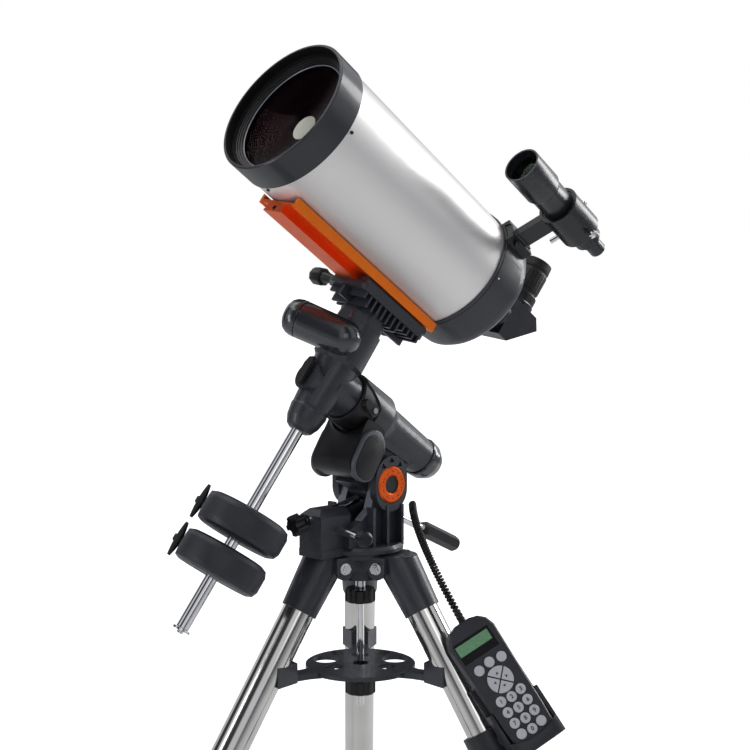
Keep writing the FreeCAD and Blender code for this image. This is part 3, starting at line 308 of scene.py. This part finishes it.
class Zone:
    """Geometry nodes that give a second finish to the faces of a CAD node inside a region."""

    def __init__(self, finish):
        self.finish = finish
        self.group = bpy.data.node_groups.new("zone_of_" + finish.material.name, "GeometryNodeTree")
        self.group.interface.new_socket("Geometry", in_out="INPUT", socket_type="NodeSocketGeometry")
        self.group.interface.new_socket("Geometry", in_out="OUTPUT", socket_type="NodeSocketGeometry")
        self.place = self.add("GeometryNodeInputPosition").outputs[0]
        self.normal = self.add("GeometryNodeInputNormal").outputs[0]
        self.chosen = None

    def add(self, kind, *inputs, **settings):
        """Adds a node, wiring each input or setting its value."""
        node = self.group.nodes.new(kind)
        for key, value in settings.items():
            setattr(node, key, value)
        for slot, value in enumerate(inputs):
            if isinstance(value, bpy.types.NodeSocket):
                self.group.links.new(value, node.inputs[slot])
            else:
                node.inputs[slot].default_value = value
        return node

    def vector(self, operation, *inputs):
        """Vector maths node."""
        return self.add("ShaderNodeVectorMath", *inputs, operation=operation)

    def math(self, operation, *inputs):
        """Result of a maths node on plain numbers."""
        return self.add("ShaderNodeMath", *inputs, operation=operation).outputs[0]

    def keep(self, value, low, high):
        """Narrows the region to where a value lies between two limits."""
        above = self.math("GREATER_THAN", value, low)
        below = self.math("LESS_THAN", value, high)
        both = self.math("MULTIPLY", above, below)
        self.chosen = both if self.chosen is None else self.math("MULTIPLY", self.chosen, both)
        return self

    def along(self, direction, low, high, origin=(0, 0, 0)):
        """Keeps the faces between two distances along a direction."""
        out = self.vector("SUBTRACT", self.place, tuple(origin)).outputs[0]
        return self.keep(self.vector("DOT_PRODUCT", out, tuple(direction)).outputs["Value"], low, high)

    def facing(self, direction, low, high):
        """Keeps the faces whose normal has a component along a direction between two limits."""
        component = self.vector("DOT_PRODUCT", self.normal, tuple(direction)).outputs["Value"]
        return self.keep(component, low, high)

    def from_axis(self, origin, axis, low, high):
        """Keeps the faces between two distances from an axis."""
        out = self.vector("SUBTRACT", self.place, tuple(origin)).outputs[0]
        away = self.vector("CROSS_PRODUCT", out, tuple(axis)).outputs[0]
        return self.keep(self.vector("LENGTH", away).outputs["Value"], low, high)

    def inward(self, origin, axis):
        """Keeps only the faces that are turned towards an axis."""
        out = self.vector("SUBTRACT", self.place, tuple(origin)).outputs[0]
        height = self.vector("DOT_PRODUCT", out, tuple(axis)).outputs["Value"]
        rise = self.vector("DOT_PRODUCT", self.normal, tuple(axis)).outputs["Value"]
        total = self.vector("DOT_PRODUCT", self.normal, out).outputs["Value"]
        return self.keep(self.math("SUBTRACT", total, self.math("MULTIPLY", height, rise)), -FAR, -0.001)

    def on(self, node):
        """Puts the second finish on a node through a modifier, leaving its mesh alone."""
        source, result = self.add("NodeGroupInput"), self.add("NodeGroupOutput")
        dress = self.add("GeometryNodeSetMaterial")
        self.group.links.new(source.outputs[0], dress.inputs["Geometry"])
        self.group.links.new(self.chosen, dress.inputs["Selection"])
        dress.inputs["Material"].default_value = self.finish.material
        self.group.links.new(dress.outputs[0], result.inputs[0])
        frame["nodes"][node].modifiers.new("second_finish", "NODES").node_group = self.group


def dress_nodes():
    """Finishes of all CAD nodes, with second finishes where one node holds two materials, and painted
    highlights on the fork ears' front faces and the dovetail's side flanges.
    """
    for node, piece in frame["nodes"].items():
        give(piece, FINISHES[node])
    Zone(BAFFLE_BLACK).inward(OTA, POLE).on("main_tube")
    Zone(BAFFLE_BLACK).inward(OTA, POLE).on("front_ring")
    Zone(BAFFLE_BLACK).inward(OTA, POLE).along(POLE, -0.480, FAR, OTA).on("rear_cell")
    for side, out in (("near", 0.0655), ("far", 0.0155)):
        joint = JOINTS["azimuth_screw_" + side + "_turn"]
        Zone(BLACK_PLASTIC).along(joint["axis"], out, FAR, joint["pos_m"]).on("azimuth_screw_" + side)
    for side, out in (("front", 0.018), ("rear", 0.0025)):
        joint = JOINTS["altitude_screw_" + side + "_turn"]
        Zone(BLACK_PLASTIC).along(joint["axis"], -FAR, -out, joint["pos_m"]).on("altitude_screw_" + side)
    for leg in "abc":
        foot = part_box("lower_leg_" + leg)[0].z + 0.052
        Zone(RUBBER).along((0, 0, 1), -FAR, foot).on("lower_leg_" + leg)
    lever = JOINTS["ra_clutch_turn"]
    hub = Zone(CHROME).along(lever["axis"], 0.0062, FAR, lever["pos_m"])
    hub.from_axis(lever["pos_m"], lever["axis"], -1, 0.005).on("ra_clutch")
    # Painted highlight: the dovetail's side flanges get the brighter orange instead of the bar's own orange.
    Zone(ORANGE_PAINTED_HIGHLIGHT).along(SIDE, 0.0384, FAR, OTA).on("dovetail")
    Zone(ORANGE_PAINTED_HIGHLIGHT).along(SIDE, -FAR, -0.0384, OTA).on("dovetail")
    # Painted highlight: the front faces of both fork ears get the light grey instead of the dark casting
    # colour.
    for sign in (-1, 1):
        ear = Zone(PAINTED_HIGHLIGHT_GREY).facing((1, 0, 0), -2, -0.5).along((1, 0, 0), -FAR, 0.005)
        ear.along((0, sign, 0), 0.0215, 0.0385).along((0, 0, 1), AXES_FOOT + 0.040, AXES_FOOT + 0.132)
        ear.on("azimuth_base")
    window = Zone(DISPLAY).along(KEY_RIGHT, -0.0333, 0.0243, KEY_ORIGIN)
    window.along(KEY_UP, 0.0569, 0.0737, KEY_ORIGIN).along(KEY_OUT, -0.0001, FAR, KEY_ORIGIN)
    window.on("controller_screen")
    hole = OTA - POLE * 0.592
    glass = Zone(LENS).from_axis(hole, DEC, -1, 0.0118)
    glass.chosen = glass.math("MULTIPLY", glass.chosen, glass.math("GREATER_THAN", glass.math(
        "ABSOLUTE", glass.vector("DOT_PRODUCT", glass.normal, tuple(DEC)).outputs["Value"]), 0.9))
    glass.on("eyepiece")


def edge_softener(angle):
    """Geometry nodes that join split corners and mark only the sharp edges as sharp."""
    group = bpy.data.node_groups.new("soft_edges", "GeometryNodeTree")
    group.interface.new_socket("Geometry", in_out="INPUT", socket_type="NodeSocketGeometry")
    group.interface.new_socket("Geometry", in_out="OUTPUT", socket_type="NodeSocketGeometry")
    nodes, links = group.nodes, group.links
    source, result = nodes.new("NodeGroupInput"), nodes.new("NodeGroupOutput")
    plain = nodes.new("GeometryNodeRemoveAttribute")
    plain.inputs["Name"].default_value = "custom_normal"
    weld = nodes.new("GeometryNodeMergeByDistance")
    weld.inputs["Distance"].default_value = 0.000004
    corner = nodes.new("GeometryNodeInputMeshEdgeAngle")
    test = nodes.new("FunctionNodeCompare")
    test.operation = "LESS_EQUAL"
    test.inputs[1].default_value = angle
    faces, edges = nodes.new("GeometryNodeSetShadeSmooth"), nodes.new("GeometryNodeSetShadeSmooth")
    edges.domain = "EDGE"
    links.new(source.outputs[0], plain.inputs["Geometry"])
    links.new(plain.outputs[0], weld.inputs["Geometry"])
    links.new(weld.outputs[0], faces.inputs["Geometry"])
    links.new(faces.outputs[0], edges.inputs["Geometry"])
    links.new(corner.outputs["Unsigned Angle"], test.inputs[0])
    links.new(test.outputs[0], edges.inputs["Shade Smooth"])
    links.new(edges.outputs[0], result.inputs[0])
    return group


CREASE = math.radians(32)            # edges sharper than this stay sharp
SOFTENER = edge_softener(CREASE)
BEVELS = {
    "azimuth_base": 1.4, "ra_housing": 1.6, "dec_housing": 1.0, "saddle": 1.0,
    "dovetail": 0.5, "tripod_head": 0.8, "leg_castings": 1.6, "tray": 1.0, "controller_body": 1.2,
    "controller_holder": 1.2, "altitude_screw_rear": 1.0,
    "dec_clutch": 1.0, "ra_clutch": 1.0, "finder_bracket": 0.8, "finder_shoe": 0.8, "diagonal": 0.8,
    "saddle_jaw": 0.8, "counterweight_upper": 1.2, "counterweight_lower": 1.2, "clutch_drum": 0.8,
    "front_ring": 0.4, "rear_cell": 0.4, "pivot_rings": 0.4,
}


def soften(node, piece):
    """Rounds a CAD node's edges and smooths its turned faces, all through modifiers."""
    piece.modifiers.new("soft", "NODES").node_group = SOFTENER
    width = BEVELS.get(node, 0.0)
    if width:
        bevel = piece.modifiers.new("bevel", "BEVEL")
        bevel.width = width * MM
        bevel.segments = 2
        bevel.limit_method = "ANGLE"
        bevel.angle_limit = CREASE
        piece.modifiers.new("normals", "WEIGHTED_NORMAL").keep_sharp = True


dress_nodes()
for node_name, node_object in frame["nodes"].items():
    soften(node_name, node_object)


# ---------------------------------------------------------------- pieces
def new_piece(name, mesh_work, finish, body, smooth=40.0):
    """Turns a bmesh into a piece that rides on a body."""
    mesh = bpy.data.meshes.new(name)
    bmesh.ops.recalc_face_normals(mesh_work, faces=mesh_work.faces)
    mesh_work.to_mesh(mesh)
    mesh_work.free()
    mesh.shade_smooth()
    mesh.set_sharp_from_angle(angle=math.radians(smooth))
    piece = bpy.data.objects.new(name, mesh)
    bpy.context.scene.collection.objects.link(piece)
    give(piece, finish)
    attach(piece, body)
    return piece


def lathe(work, profile, matrix, steps=40):
    """Adds a closed turned shape from (radius, height) points, in a frame, to a bmesh."""
    rings = []
    for radius, height in profile:
        if radius < 1e-7:
            rings.append([work.verts.new(matrix @ Vector((0, 0, height)))])
            continue
        ring = []
        for i in range(steps):
            a = 2 * math.pi * i / steps
            ring.append(work.verts.new(matrix @ Vector((radius * math.cos(a), radius * math.sin(a), height))))
        rings.append(ring)
    for low, high in zip(rings, rings[1:] + rings[:1]):
        join_rings(work, low, high)


def join_rings(work, low, high):
    """Faces between two rings; a ring of one vertex is a point on the axis."""
    if len(low) == 1 and len(high) == 1:
        return
    steps = max(len(low), len(high))
    for i in range(steps):
        k = (i + 1) % steps
        if len(low) == 1:
            work.faces.new((low[0], high[i], high[k]))
        elif len(high) == 1:
            work.faces.new((low[i], high[0], low[k]))
        else:
            work.faces.new((low[i], high[i], high[k], low[k]))


def sweep(work, points, radius, sides=8):
    """Adds a round wire through points, with closed ends, to a bmesh."""
    rings = []
    across = Vector((0, 0, 1))
    for i, point in enumerate(points):
        ahead = points[min(i + 1, len(points) - 1)] - points[max(i - 1, 0)]
        ahead.normalize()
        across = (across - ahead * across.dot(ahead)).normalized()
        other = ahead.cross(across)
        ring = []
        for k in range(sides):
            a = 2 * math.pi * k / sides
            ring.append(work.verts.new(point + (across * math.cos(a) + other * math.sin(a)) * radius))
        rings.append(ring)
    for low, high in zip(rings, rings[1:]):
        join_rings(work, low, high)
    work.faces.new(rings[0])
    work.faces.new(rings[-1])


def cap_screw(work, matrix, radius, height):
    """Adds a button-head screw with a round-cornered socket in its top to a bmesh."""
    outline = [(0, -0.4), (1, -0.4), (1, 0.35), (0.78, 0.85), (0.55, 1), (0.5, 0.35), (0, 0.3)]
    lathe(work, [(radius * r, height * h) for r, h in outline], matrix, 24)


def on_tube(angle, t, radius):
    """Frame on the tube's wall facing outwards, t behind the front rim."""
    a = math.radians(angle)
    out = DEC * math.cos(a) + SIDE * math.sin(a)
    return aimed(OTA + out * radius - POLE * t, out)


def tube_details():
    """Screws through the tube wall, seam on the rear cell and the screw in the dovetail's end."""
    work = bmesh.new()
    for angle in (0, 90, 180, 270):
        cap_screw(work, on_tube(angle, 0.0555, TUBE_R), 0.0028, 0.0022)
    new_piece("tube_screws", work, BLACK_METAL, "tube")
    work = bmesh.new()
    for angle in (-90, 90):
        cap_screw(work, on_tube(angle, 0.430, CELL_R), 0.0016, 0.0008)
    new_piece("cell_screws", work, CHROME, "tube")
    work = bmesh.new()
    bar = RA_FRAME @ Matrix.Translation((ORANGE_BAR + 0.0006, 0, 0.2385))
    cap_screw(work, bar, 0.0037, 0.005)
    new_piece("dovetail_screw", work, BLACK_METAL, "tube")
    work = bmesh.new()
    seam = [(CELL_R + 0.0002, -0.4245), (CELL_R + 0.0006, -0.4242), (CELL_R + 0.0006, -0.4232),
            (CELL_R + 0.0002, -0.4229), (CELL_R - 0.001, -0.4229), (CELL_R - 0.001, -0.4245)]
    lathe(work, seam, TUBE_FRAME, 128)
    new_piece("cell_seam", work, BLACK_METAL, "tube")


def lead_path(steps):
    """Centre line of the coiled lead, from the controller's top up to the mount."""
    low = PAD_FRAME @ Vector((0.0019, 0.098, -0.013))
    high = Vector((0.0785, -0.0385, 0.786))
    pull = PAD_FRAME @ Vector((0.010, 0.250, -0.006))
    points = []
    for i in range(steps + 1):
        t = i / steps
        points.append(low * (1 - t) ** 2 + pull * 2 * t * (1 - t) + high * t * t)
    return points


def coiled_lead():
    """Coiled hand-control lead with a moulded sleeve at each end."""
    turns, per_turn = 46, 16
    path = lead_path(turns * per_turn)
    wire, sleeve = 0.0024, 0.0044
    coil = []
    last = len(path) - 1
    across = Vector((0, 0, 1))
    for i, point in enumerate(path):
        ahead = (path[min(i + 1, last)] - path[max(i - 1, 0)]).normalized()
        across = (across - ahead * across.dot(ahead)).normalized()
        a = 2 * math.pi * i / per_turn
        coil.append(point + (across * math.cos(a) + ahead.cross(across) * math.sin(a)) * 0.0040)
    work = bmesh.new()
    sweep(work, coil, wire, 7)
    for end, inward in ((path[0], path[20]), (path[-1], path[-20])):
        ribs = [(0.0, 0.0)]
        for k in range(7):
            crest = sleeve + 0.0016 - 0.0001 * k
            ribs += [(crest, 0.003 * k), (crest, 0.003 * k + 0.002), (sleeve + 0.0003, 0.003 * k + 0.0022)]
        ribs += [(sleeve, 0.0225), (0.0, 0.0225)]
        lathe(work, ribs, aimed(end, inward - end), 20)
    mesh = bpy.data.meshes.new("coiled_lead")
    bmesh.ops.recalc_face_normals(work, faces=work.faces)
    work.to_mesh(mesh)
    work.free()
    mesh.shade_smooth()
    mesh.set_sharp_from_angle(angle=math.radians(50))
    piece = bpy.data.objects.new("coiled_lead", mesh)
    bpy.context.scene.collection.objects.link(piece)
    give(piece, RUBBER)
    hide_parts("hand_cable")
    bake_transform(piece)


KEY_COLUMN, KEY_ROW = 0.018, 0.0182


def key_spot(index):
    """Centre of a round key in the four rows of three, on the controller's face."""
    row, column = divmod(index, 3)
    return (column - 1) * KEY_COLUMN, -0.0274 - KEY_ROW * row - (0.0022 if column == 1 else 0.0)


def key_numerals():
    """Plain numerals raised on the number keys."""
    numerals = {0: "1", 1: "2", 2: "3", 3: "4", 4: "5", 5: "6", 6: "7", 7: "8", 8: "9", 10: "0"}
    work = bmesh.new()
    for index, numeral in numerals.items():
        curve = bpy.data.curves.new("numeral", "FONT")
        curve.body = numeral
        curve.size = 0.0088
        curve.align_x = "CENTER"
        curve.align_y = "CENTER"
        curve.extrude = 0.00015
        shape = bpy.data.objects.new("numeral", curve)
        bpy.context.scene.collection.objects.link(shape)
        bpy.context.view_layer.update()
        curve.offset = 0.00022
        solid = shape.evaluated_get(bpy.context.evaluated_depsgraph_get()).to_mesh()
        x, y = key_spot(index)
        start = len(work.verts)
        work.from_mesh(solid)
        work.verts.ensure_lookup_table()
        place = PAD_FRAME @ Matrix.Translation((x, y, 0.0021))
        for vertex in work.verts[start:]:
            vertex.co = place @ vertex.co
        bpy.data.objects.remove(shape)
    bmesh.ops.remove_doubles(work, verts=work.verts, dist=0.000002)
    new_piece("key_numerals", work, INK, "number_keys")


def pad_marks():
    """Arrows on the direction keys."""
    work = bmesh.new()
    for turn in range(4):
        a = math.radians(90 * turn)
        out, side = Vector((math.cos(a), math.sin(a), 0)), Vector((-math.sin(a), math.cos(a), 0))
        corners = [out * 0.0125, out * 0.0088 + side * 0.0025, out * 0.0088 - side * 0.0025]
        low = [work.verts.new(PAD_FRAME @ (c + Vector((0, 0, 0.0019)))) for c in corners]
        high = [work.verts.new(PAD_FRAME @ (c + Vector((0, 0, 0.0024)))) for c in corners]
        join_rings(work, low, high)
        work.faces.new(low)
        work.faces.new(high)
    new_piece("key_arrows", work, INK, "direction_keys")


def wing_knobs():
    """Winged clamp screws of the two counterweights."""
    for name in ("upper", "lower"):
        joint = JOINTS["weight_knob_" + name + "_turn"]
        place = basis(Vector(joint["pos_m"]), DEC, Vector(joint["axis"]).cross(DEC), Vector(joint["axis"]))
        work = bmesh.new()
        stations, around, half = 14, 16, 0.0275
        rings = []
        for i in range(stations + 1):
            s = -1 + 2 * i / stations
            waist = max(0.0, 1 - abs(s) ** 1.6)
            thick = 0.0024 + 0.0034 * waist
            wide = 0.0056 + 0.0036 * waist
            lift = 0.0712 + 0.0012 * abs(s)
            ring = []
            for k in range(around):
                a = 2 * math.pi * k / around
                across = abs(math.cos(a)) ** 0.6 * math.copysign(1, math.cos(a))
                out = abs(math.sin(a)) ** 0.6 * math.copysign(1, math.sin(a))
                ring.append(work.verts.new(place @ Vector((s * half, across * wide, lift + out * thick))))
            rings.append(ring)
        for low, high in zip(rings, rings[1:]):
            join_rings(work, low, high)
        work.faces.new(rings[0])
        work.faces.new(rings[-1])
        hub = [(0, 0.0645), (0.0070, 0.0645), (0.0080, 0.0655), (0.0080, 0.071), (0.0060, 0.0770),
               (0.0048, 0.0795), (0, 0.0798)]
        lathe(work, hub, place, 32)
        lathe(work, [(0, 0.012), (0.004, 0.012), (0.004, 0.067), (0, 0.067)], place, 24)
        knob = new_piece("wing_knob_" + name, work, GRIP_PLASTIC, "weight_clamp_" + name)
        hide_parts("weight_knob_" + name)


ALT_X = Vector((0, 1, 0)).cross(POLE)
ALT_FRAME = basis(CROSSING, ALT_X, Vector((0, 1, 0)), POLE)


def rounded(corners, reach, steps=4):
    """Outline whose corners are rounded with arcs that start a given distance from each corner."""
    outline = []
    count = len(corners)
    for i, corner in enumerate(corners):
        here = Vector(corner)
        before, after = Vector(corners[i - 1]) - here, Vector(corners[(i + 1) % count]) - here
        a = here + before.normalized() * min(reach, before.length * 0.45)
        b = here + after.normalized() * min(reach, after.length * 0.45)
        for k in range(steps + 1):
            t = k / steps
            outline.append(a * (1 - t) ** 2 + here * 2 * t * (1 - t) + b * t * t)
    return outline


def slab(work, outline, y0, y1, edge, matrix):
    """Adds a flat plate with softened rims, from an (x, z) outline between two y values."""
    middle = sum((p for p in outline), Vector((0, 0))) / len(outline)
    rings = []
    for y, inset in ((y0, edge), (y0 + edge * 0.3, edge * 0.3), (y0 + edge, 0.0), (y1 - edge, 0.0),
                     (y1 - edge * 0.3, edge * 0.3), (y1, edge)):
        ring = []
        for p in outline:
            inward = (middle - p).normalized() * inset
            ring.append(work.verts.new(matrix @ Vector((p.x + inward.x, y, p.y + inward.y))))
        rings.append(ring)
    for low, high in zip(rings, rings[1:]):
        join_rings(work, low, high)
    work.faces.new(rings[0])
    work.faces.new(rings[-1])


def drive_cover():
    """Electronics box under the polar axis: shell hugging the drum, a raised panel on each side."""
    work = bmesh.new()
    depth, half, drum = 0.110, 0.0425, 0.0452
    stations = 24
    rings = []
    for i in range(stations + 1):
        y = -half + 2 * half * i / stations
        top = -max(math.sqrt(drum ** 2 - y ** 2), 0.020)
        corners = [(top, -0.072), (-0.096, -0.072), (-depth, -0.084), (-depth, -0.108), (-0.098, -0.118),
                   (top, -0.118)]
        outline = rounded(corners, 0.009)
        rings.append([work.verts.new(ALT_FRAME @ Vector((p.x, y, p.y))) for p in outline])
    for low, high in zip(rings, rings[1:]):
        join_rings(work, low, high)
    work.faces.new(rings[0])
    work.faces.new(rings[-1])
    shell = new_piece("drive_cover", work, BLACK_PLASTIC, "altitude", 30.0)
    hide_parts("motor_cover")
    corners = [(-0.029, -0.109), (-0.029, -0.093), (-0.044, -0.075), (-0.096, -0.075), (-0.112, -0.087),
               (-0.114, -0.109), (-0.102, -0.1265), (-0.044, -0.1265)]
    outline = rounded(corners, 0.012, 6)
    middle = sum(outline, Vector((0, 0))) / len(outline)
    inner = [middle + (p - middle) * 0.88 + Vector((-0.0015, -0.0015)) for p in outline]
    for side, name in ((-1, "near"), (1, "far")):
        work = bmesh.new()
        slab(work, outline, *sorted((side * 0.039, side * 0.0495)), 0.0022, ALT_FRAME)
        frame_piece = new_piece("drive_panel_frame_" + name, work, PANEL_EDGE, "altitude", 50.0)
        work = bmesh.new()
        slab(work, inner, *sorted((side * 0.045, side * 0.0506)), 0.0010, ALT_FRAME)
        plate = new_piece("drive_panel_" + name, work, BLACK_PLASTIC, "altitude", 50.0)


def dec_drive_cover():
    """Glossy rounded cover of the declination motor, with a seam and a separate end cap."""
    start, end = Vector((0.064, -0.022, 0.032)), Vector((0.061, 0.044, 0.076))
    place = RA_FRAME @ aimed(start, end - start)
    dome = [math.radians(a) for a in range(-90, 1, 9)]
    profile = [(0.029 * math.cos(a), 0.029 * math.sin(a)) for a in dome]
    profile += [(0.0292, 0.020), (0.0295, 0.050), (0.0298, 0.068), (0.0296, 0.0700)]
    seam = [(0.0282, 0.0704), (0.0282, 0.0714), (0.0298, 0.0718)]
    cap = [(0.030, 0.073), (0.0296, 0.080), (0.0278, 0.0872), (0.0240, 0.0930), (0.0180, 0.0968),
           (0.0100, 0.0985), (0, 0.099)]
    work = bmesh.new()
    lathe(work, profile + seam + cap, place, 96)
    cover = new_piece("dec_drive_cover", work, MOTOR_PLASTIC, "ra", 35.0)
    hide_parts("dec_motor_cover")


def cell_lips():
    """Stepped light-trap rings in front of the corrector, and a thin light grey lip round its edge as a
    painted highlight.
    """
    work = bmesh.new()
    steps = [(0.0913, 0.0236)]
    for k in range(5):
        radius, depth = 0.0928 + 0.0024 * k, 0.0226 - 0.0022 * k
        steps += [(radius, depth + 0.0006), (radius + 0.0004, depth - 0.0010)]
        steps.append((radius + 0.0012, depth - 0.0012))
    steps += [(0.1045, 0.0118), (0.1045, 0.0240), (0.0913, 0.0244)]
    lathe(work, [(radius, -depth) for radius, depth in steps], TUBE_FRAME, 160)
    new_piece("cell_steps", work, BLACK_PLASTIC, "tube", 25.0)
    # Painted highlight: a thin light grey ring stands in for the glint on the retaining ring's chamfer.
    work = bmesh.new()
    lip = [(0.0902, -0.0242), (0.0908, -0.0236), (0.0914, -0.0236), (0.0914, -0.0246), (0.0902, -0.0246)]
    lathe(work, lip, TUBE_FRAME, 160)
    new_piece("corrector_lip_painted_highlight", work, PAINTED_HIGHLIGHT_GREY, "tube", 25.0)


def saddle_grip():
    """Eight-sided clamp grip of the saddle with its coned neck."""
    joint = JOINTS["saddle_knob_turn"]
    place = aimed(Vector(joint["pos_m"]), joint["axis"])
    work = bmesh.new()
    rings = []
    grip_outline = [(0.026, 0.0118), (0.0285, 0.0142), (0.047, 0.0142), (0.052, 0.0122), (0.0535, 0.008)]
    for height, radius in grip_outline:
        ring = []
        for k in range(64):
            a = 2 * math.pi * k / 64
            facet = 1.0 - 0.06 * abs(math.cos(4 * a)) ** 3
            spot = Vector((radius * facet * math.cos(a), radius * facet * math.sin(a), height))
            ring.append(work.verts.new(place @ spot))
        rings.append(ring)
    for low, high in zip(rings, rings[1:]):
        join_rings(work, low, high)
    work.faces.new(rings[0])
    work.faces.new(rings[-1])
    neck = [(0, -0.0166), (0.004, -0.0166), (0.004, -0.004), (0.0065, 0.006), (0.0105, 0.0275), (0, 0.0275)]
    lathe(work, neck, place, 40)
    grip = new_piece("saddle_grip", work, BLACK_PLASTIC, "jaw_knob", 40.0)
    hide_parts("saddle_knob")


def ring_hole_shades():
    """Small black discs set in the face of the orange pivot rings: painted shade standing in for the dark of
    small holes.
    """
    work = bmesh.new()
    pivot = JOINTS["altitude_tilt"]["pos_m"]
    for side in (-1, 1):
        for k in range(10):
            a = 2 * math.pi * (k + 0.5) / 10
            hole_spot = Vector((pivot[0] + 0.0212 * math.cos(a), side * 0.0521, pivot[2] + 0.0212 * math.sin(a)))
            lathe(work, [(0, 0), (0.0011, 0), (0.0011, 0.0003), (0, 0.0003)], aimed(hole_spot, (0, side, 0)), 12)
    new_piece("ring_hole_shades", work, BLACK_METAL, "azimuth")


def holster_lip():
    """Curved front strap of the controller's holster, with a flared cheek on each side."""
    work = bmesh.new()
    rings = []
    for i in range(21):
        s = -1 + 2 * i / 20
        x = 0.0425 * s
        low, high = -0.112, -0.0955 + 0.0105 * abs(s) ** 2.2
        front = 0.0040 - 0.006 * abs(s) ** 6
        half_way = (low + high) / 2
        strap = [(low, -0.010), (low, 0.0), (half_way, 0.0012), (high, 0.0006), (high + 0.0006, -0.0004),
                 (high, -0.0014), (half_way, -0.002)]
        rings.append([work.verts.new(PAD_FRAME @ Vector((x, y, front + z))) for y, z in strap])
    for before, after in zip(rings, rings[1:]):
        join_rings(work, before, after)
    work.faces.new(rings[0])
    work.faces.new(rings[-1])
    new_piece("holster_lip", work, PAD_PLASTIC, "tripod", 40.0)


tube_details()
cell_lips()
saddle_grip()
ring_hole_shades()
holster_lip()
coiled_lead()
key_numerals()
pad_marks()
wing_knobs()
drive_cover()
dec_drive_cover()


# ---------------------------------------------------------------- stage, light and camera
def stage():
    """Pale floor that the camera sees fading to plain white away from the mount."""
    mesh = bpy.data.meshes.new("floor")
    size = 60.0
    corners = [(-size, -size, 0), (size, -size, 0), (size, size, 0), (-size, size, 0)]
    mesh.from_pydata(corners, [], [(0, 1, 2, 3)])
    floor = bpy.data.objects.new("floor", mesh)
    bpy.context.scene.collection.objects.link(floor)
    paper = surface("floor_paper", (0.86, 0.86, 0.86), 0.7, grain=300.0, grain_depth=0.02, mottle=0.01)
    distance = paper.add("ShaderNodeVectorMath", operation="LENGTH")
    paper.link(paper.coord.outputs["Object"], distance.inputs[0])
    glow = paper.ranged(distance.outputs["Value"], 0.0, 1.0, 0.5, 2.2)
    path = paper.add("ShaderNodeLightPath")
    seen = paper.add("ShaderNodeMath", operation="MULTIPLY")
    paper.link(glow, seen.inputs[0])
    paper.link(path.outputs["Is Camera Ray"], seen.inputs[1])
    paper.link(seen.outputs[0], paper.bsdf.inputs["Emission Strength"])
    paper.bsdf.inputs["Emission Color"].default_value = (1.0, 1.0, 1.0, 1.0)
    give(floor, paper)


def world():
    """White to the camera, soft grey to the object; reflections see bright and dark studio panels."""
    scene_world = bpy.data.worlds.new("studio")
    bpy.context.scene.world = scene_world
    scene_world.use_nodes = True
    tree = scene_world.node_tree
    links = tree.links

    def add(kind, **values):
        node = tree.nodes.new(kind)
        for key, value in values.items():
            setattr(node, key, value)
        return node

    coord, split = add("ShaderNodeTexCoord"), add("ShaderNodeSeparateXYZ")
    links.new(coord.outputs["Generated"], split.inputs[0])
    angle = add("ShaderNodeMath", operation="ARCTAN2")
    links.new(split.outputs["Y"], angle.inputs[0])
    links.new(split.outputs["X"], angle.inputs[1])
    wave = add("ShaderNodeMath", operation="MULTIPLY_ADD")
    wave.inputs[1].default_value = 5.0
    wave.inputs[2].default_value = PANEL_TURN
    links.new(angle.outputs[0], wave.inputs[0])
    sine = add("ShaderNodeMath", operation="SINE")
    links.new(wave.outputs[0], sine.inputs[0])
    half = add("ShaderNodeMapRange")
    half.inputs["From Min"].default_value = -1.0
    links.new(sine.outputs[0], half.inputs["Value"])
    panels = add("ShaderNodeValToRGB")
    panels.color_ramp.elements[0].position = 0.30
    panels.color_ramp.elements[0].color = (0.05, 0.05, 0.055, 1)
    panels.color_ramp.elements[1].position = 0.70
    panels.color_ramp.elements[1].color = (0.75, 0.76, 0.80, 1)
    links.new(half.outputs[0], panels.inputs[0])
    path = add("ShaderNodeLightPath")
    lit = add("ShaderNodeMix", data_type="RGBA")
    links.new(path.outputs["Is Glossy Ray"], lit.inputs["Factor"])
    lit.inputs[6].default_value = (0.34, 0.35, 0.37, 1.0)
    links.new(panels.outputs[0], lit.inputs[7])
    seen = add("ShaderNodeMix", data_type="RGBA")
    links.new(path.outputs["Is Camera Ray"], seen.inputs["Factor"])
    links.new(lit.outputs[2], seen.inputs[6])
    seen.inputs[7].default_value = (1.0, 1.0, 1.0, 1.0)
    links.new(seen.outputs[2], tree.nodes["Background"].inputs["Color"])


def area_light(name, place, target, size, power):
    light = bpy.data.lights.new(name, "AREA")
    light.shape = "RECTANGLE"
    light.size, light.size_y = size
    light.energy = power
    lamp = bpy.data.objects.new(name, light)
    lamp.matrix_world = aimed(place, Vector(place) - Vector(target))
    bpy.context.scene.collection.objects.link(lamp)


def camera():
    """Camera at the viewing angle of the product picture."""
    lens = bpy.data.cameras.new("camera")
    lens.lens = 68.32
    lens.sensor_width = 36.0
    eye = bpy.data.objects.new("camera", lens)
    eye.location = (-1.5397, -1.6038, 1.1476)
    eye.rotation_euler = (math.radians(90 - 3.94), 0, math.radians(-44.43))
    bpy.context.scene.collection.objects.link(eye)
    bpy.context.scene.camera = eye


MIDDLE = (0.0, 0.0, 1.0)
PANEL_TURN = 0.6
stage()
world()
area_light("key_light", (2.7, -0.9, 1.9), MIDDLE, (1.0, 1.9), 54.0)
area_light("top_light", (-0.5, 0.3, 3.2), MIDDLE, (2.0, 2.0), 24.0)
area_light("front_light", (-1.2, -3.0, 1.8), MIDDLE, (1.4, 1.4), 7.0)
area_light("side_light", (-2.9, 0.9, 1.2), MIDDLE, (0.6, 1.8), 16.0)
camera()
bpy.context.scene.view_settings.view_transform = "Standard"
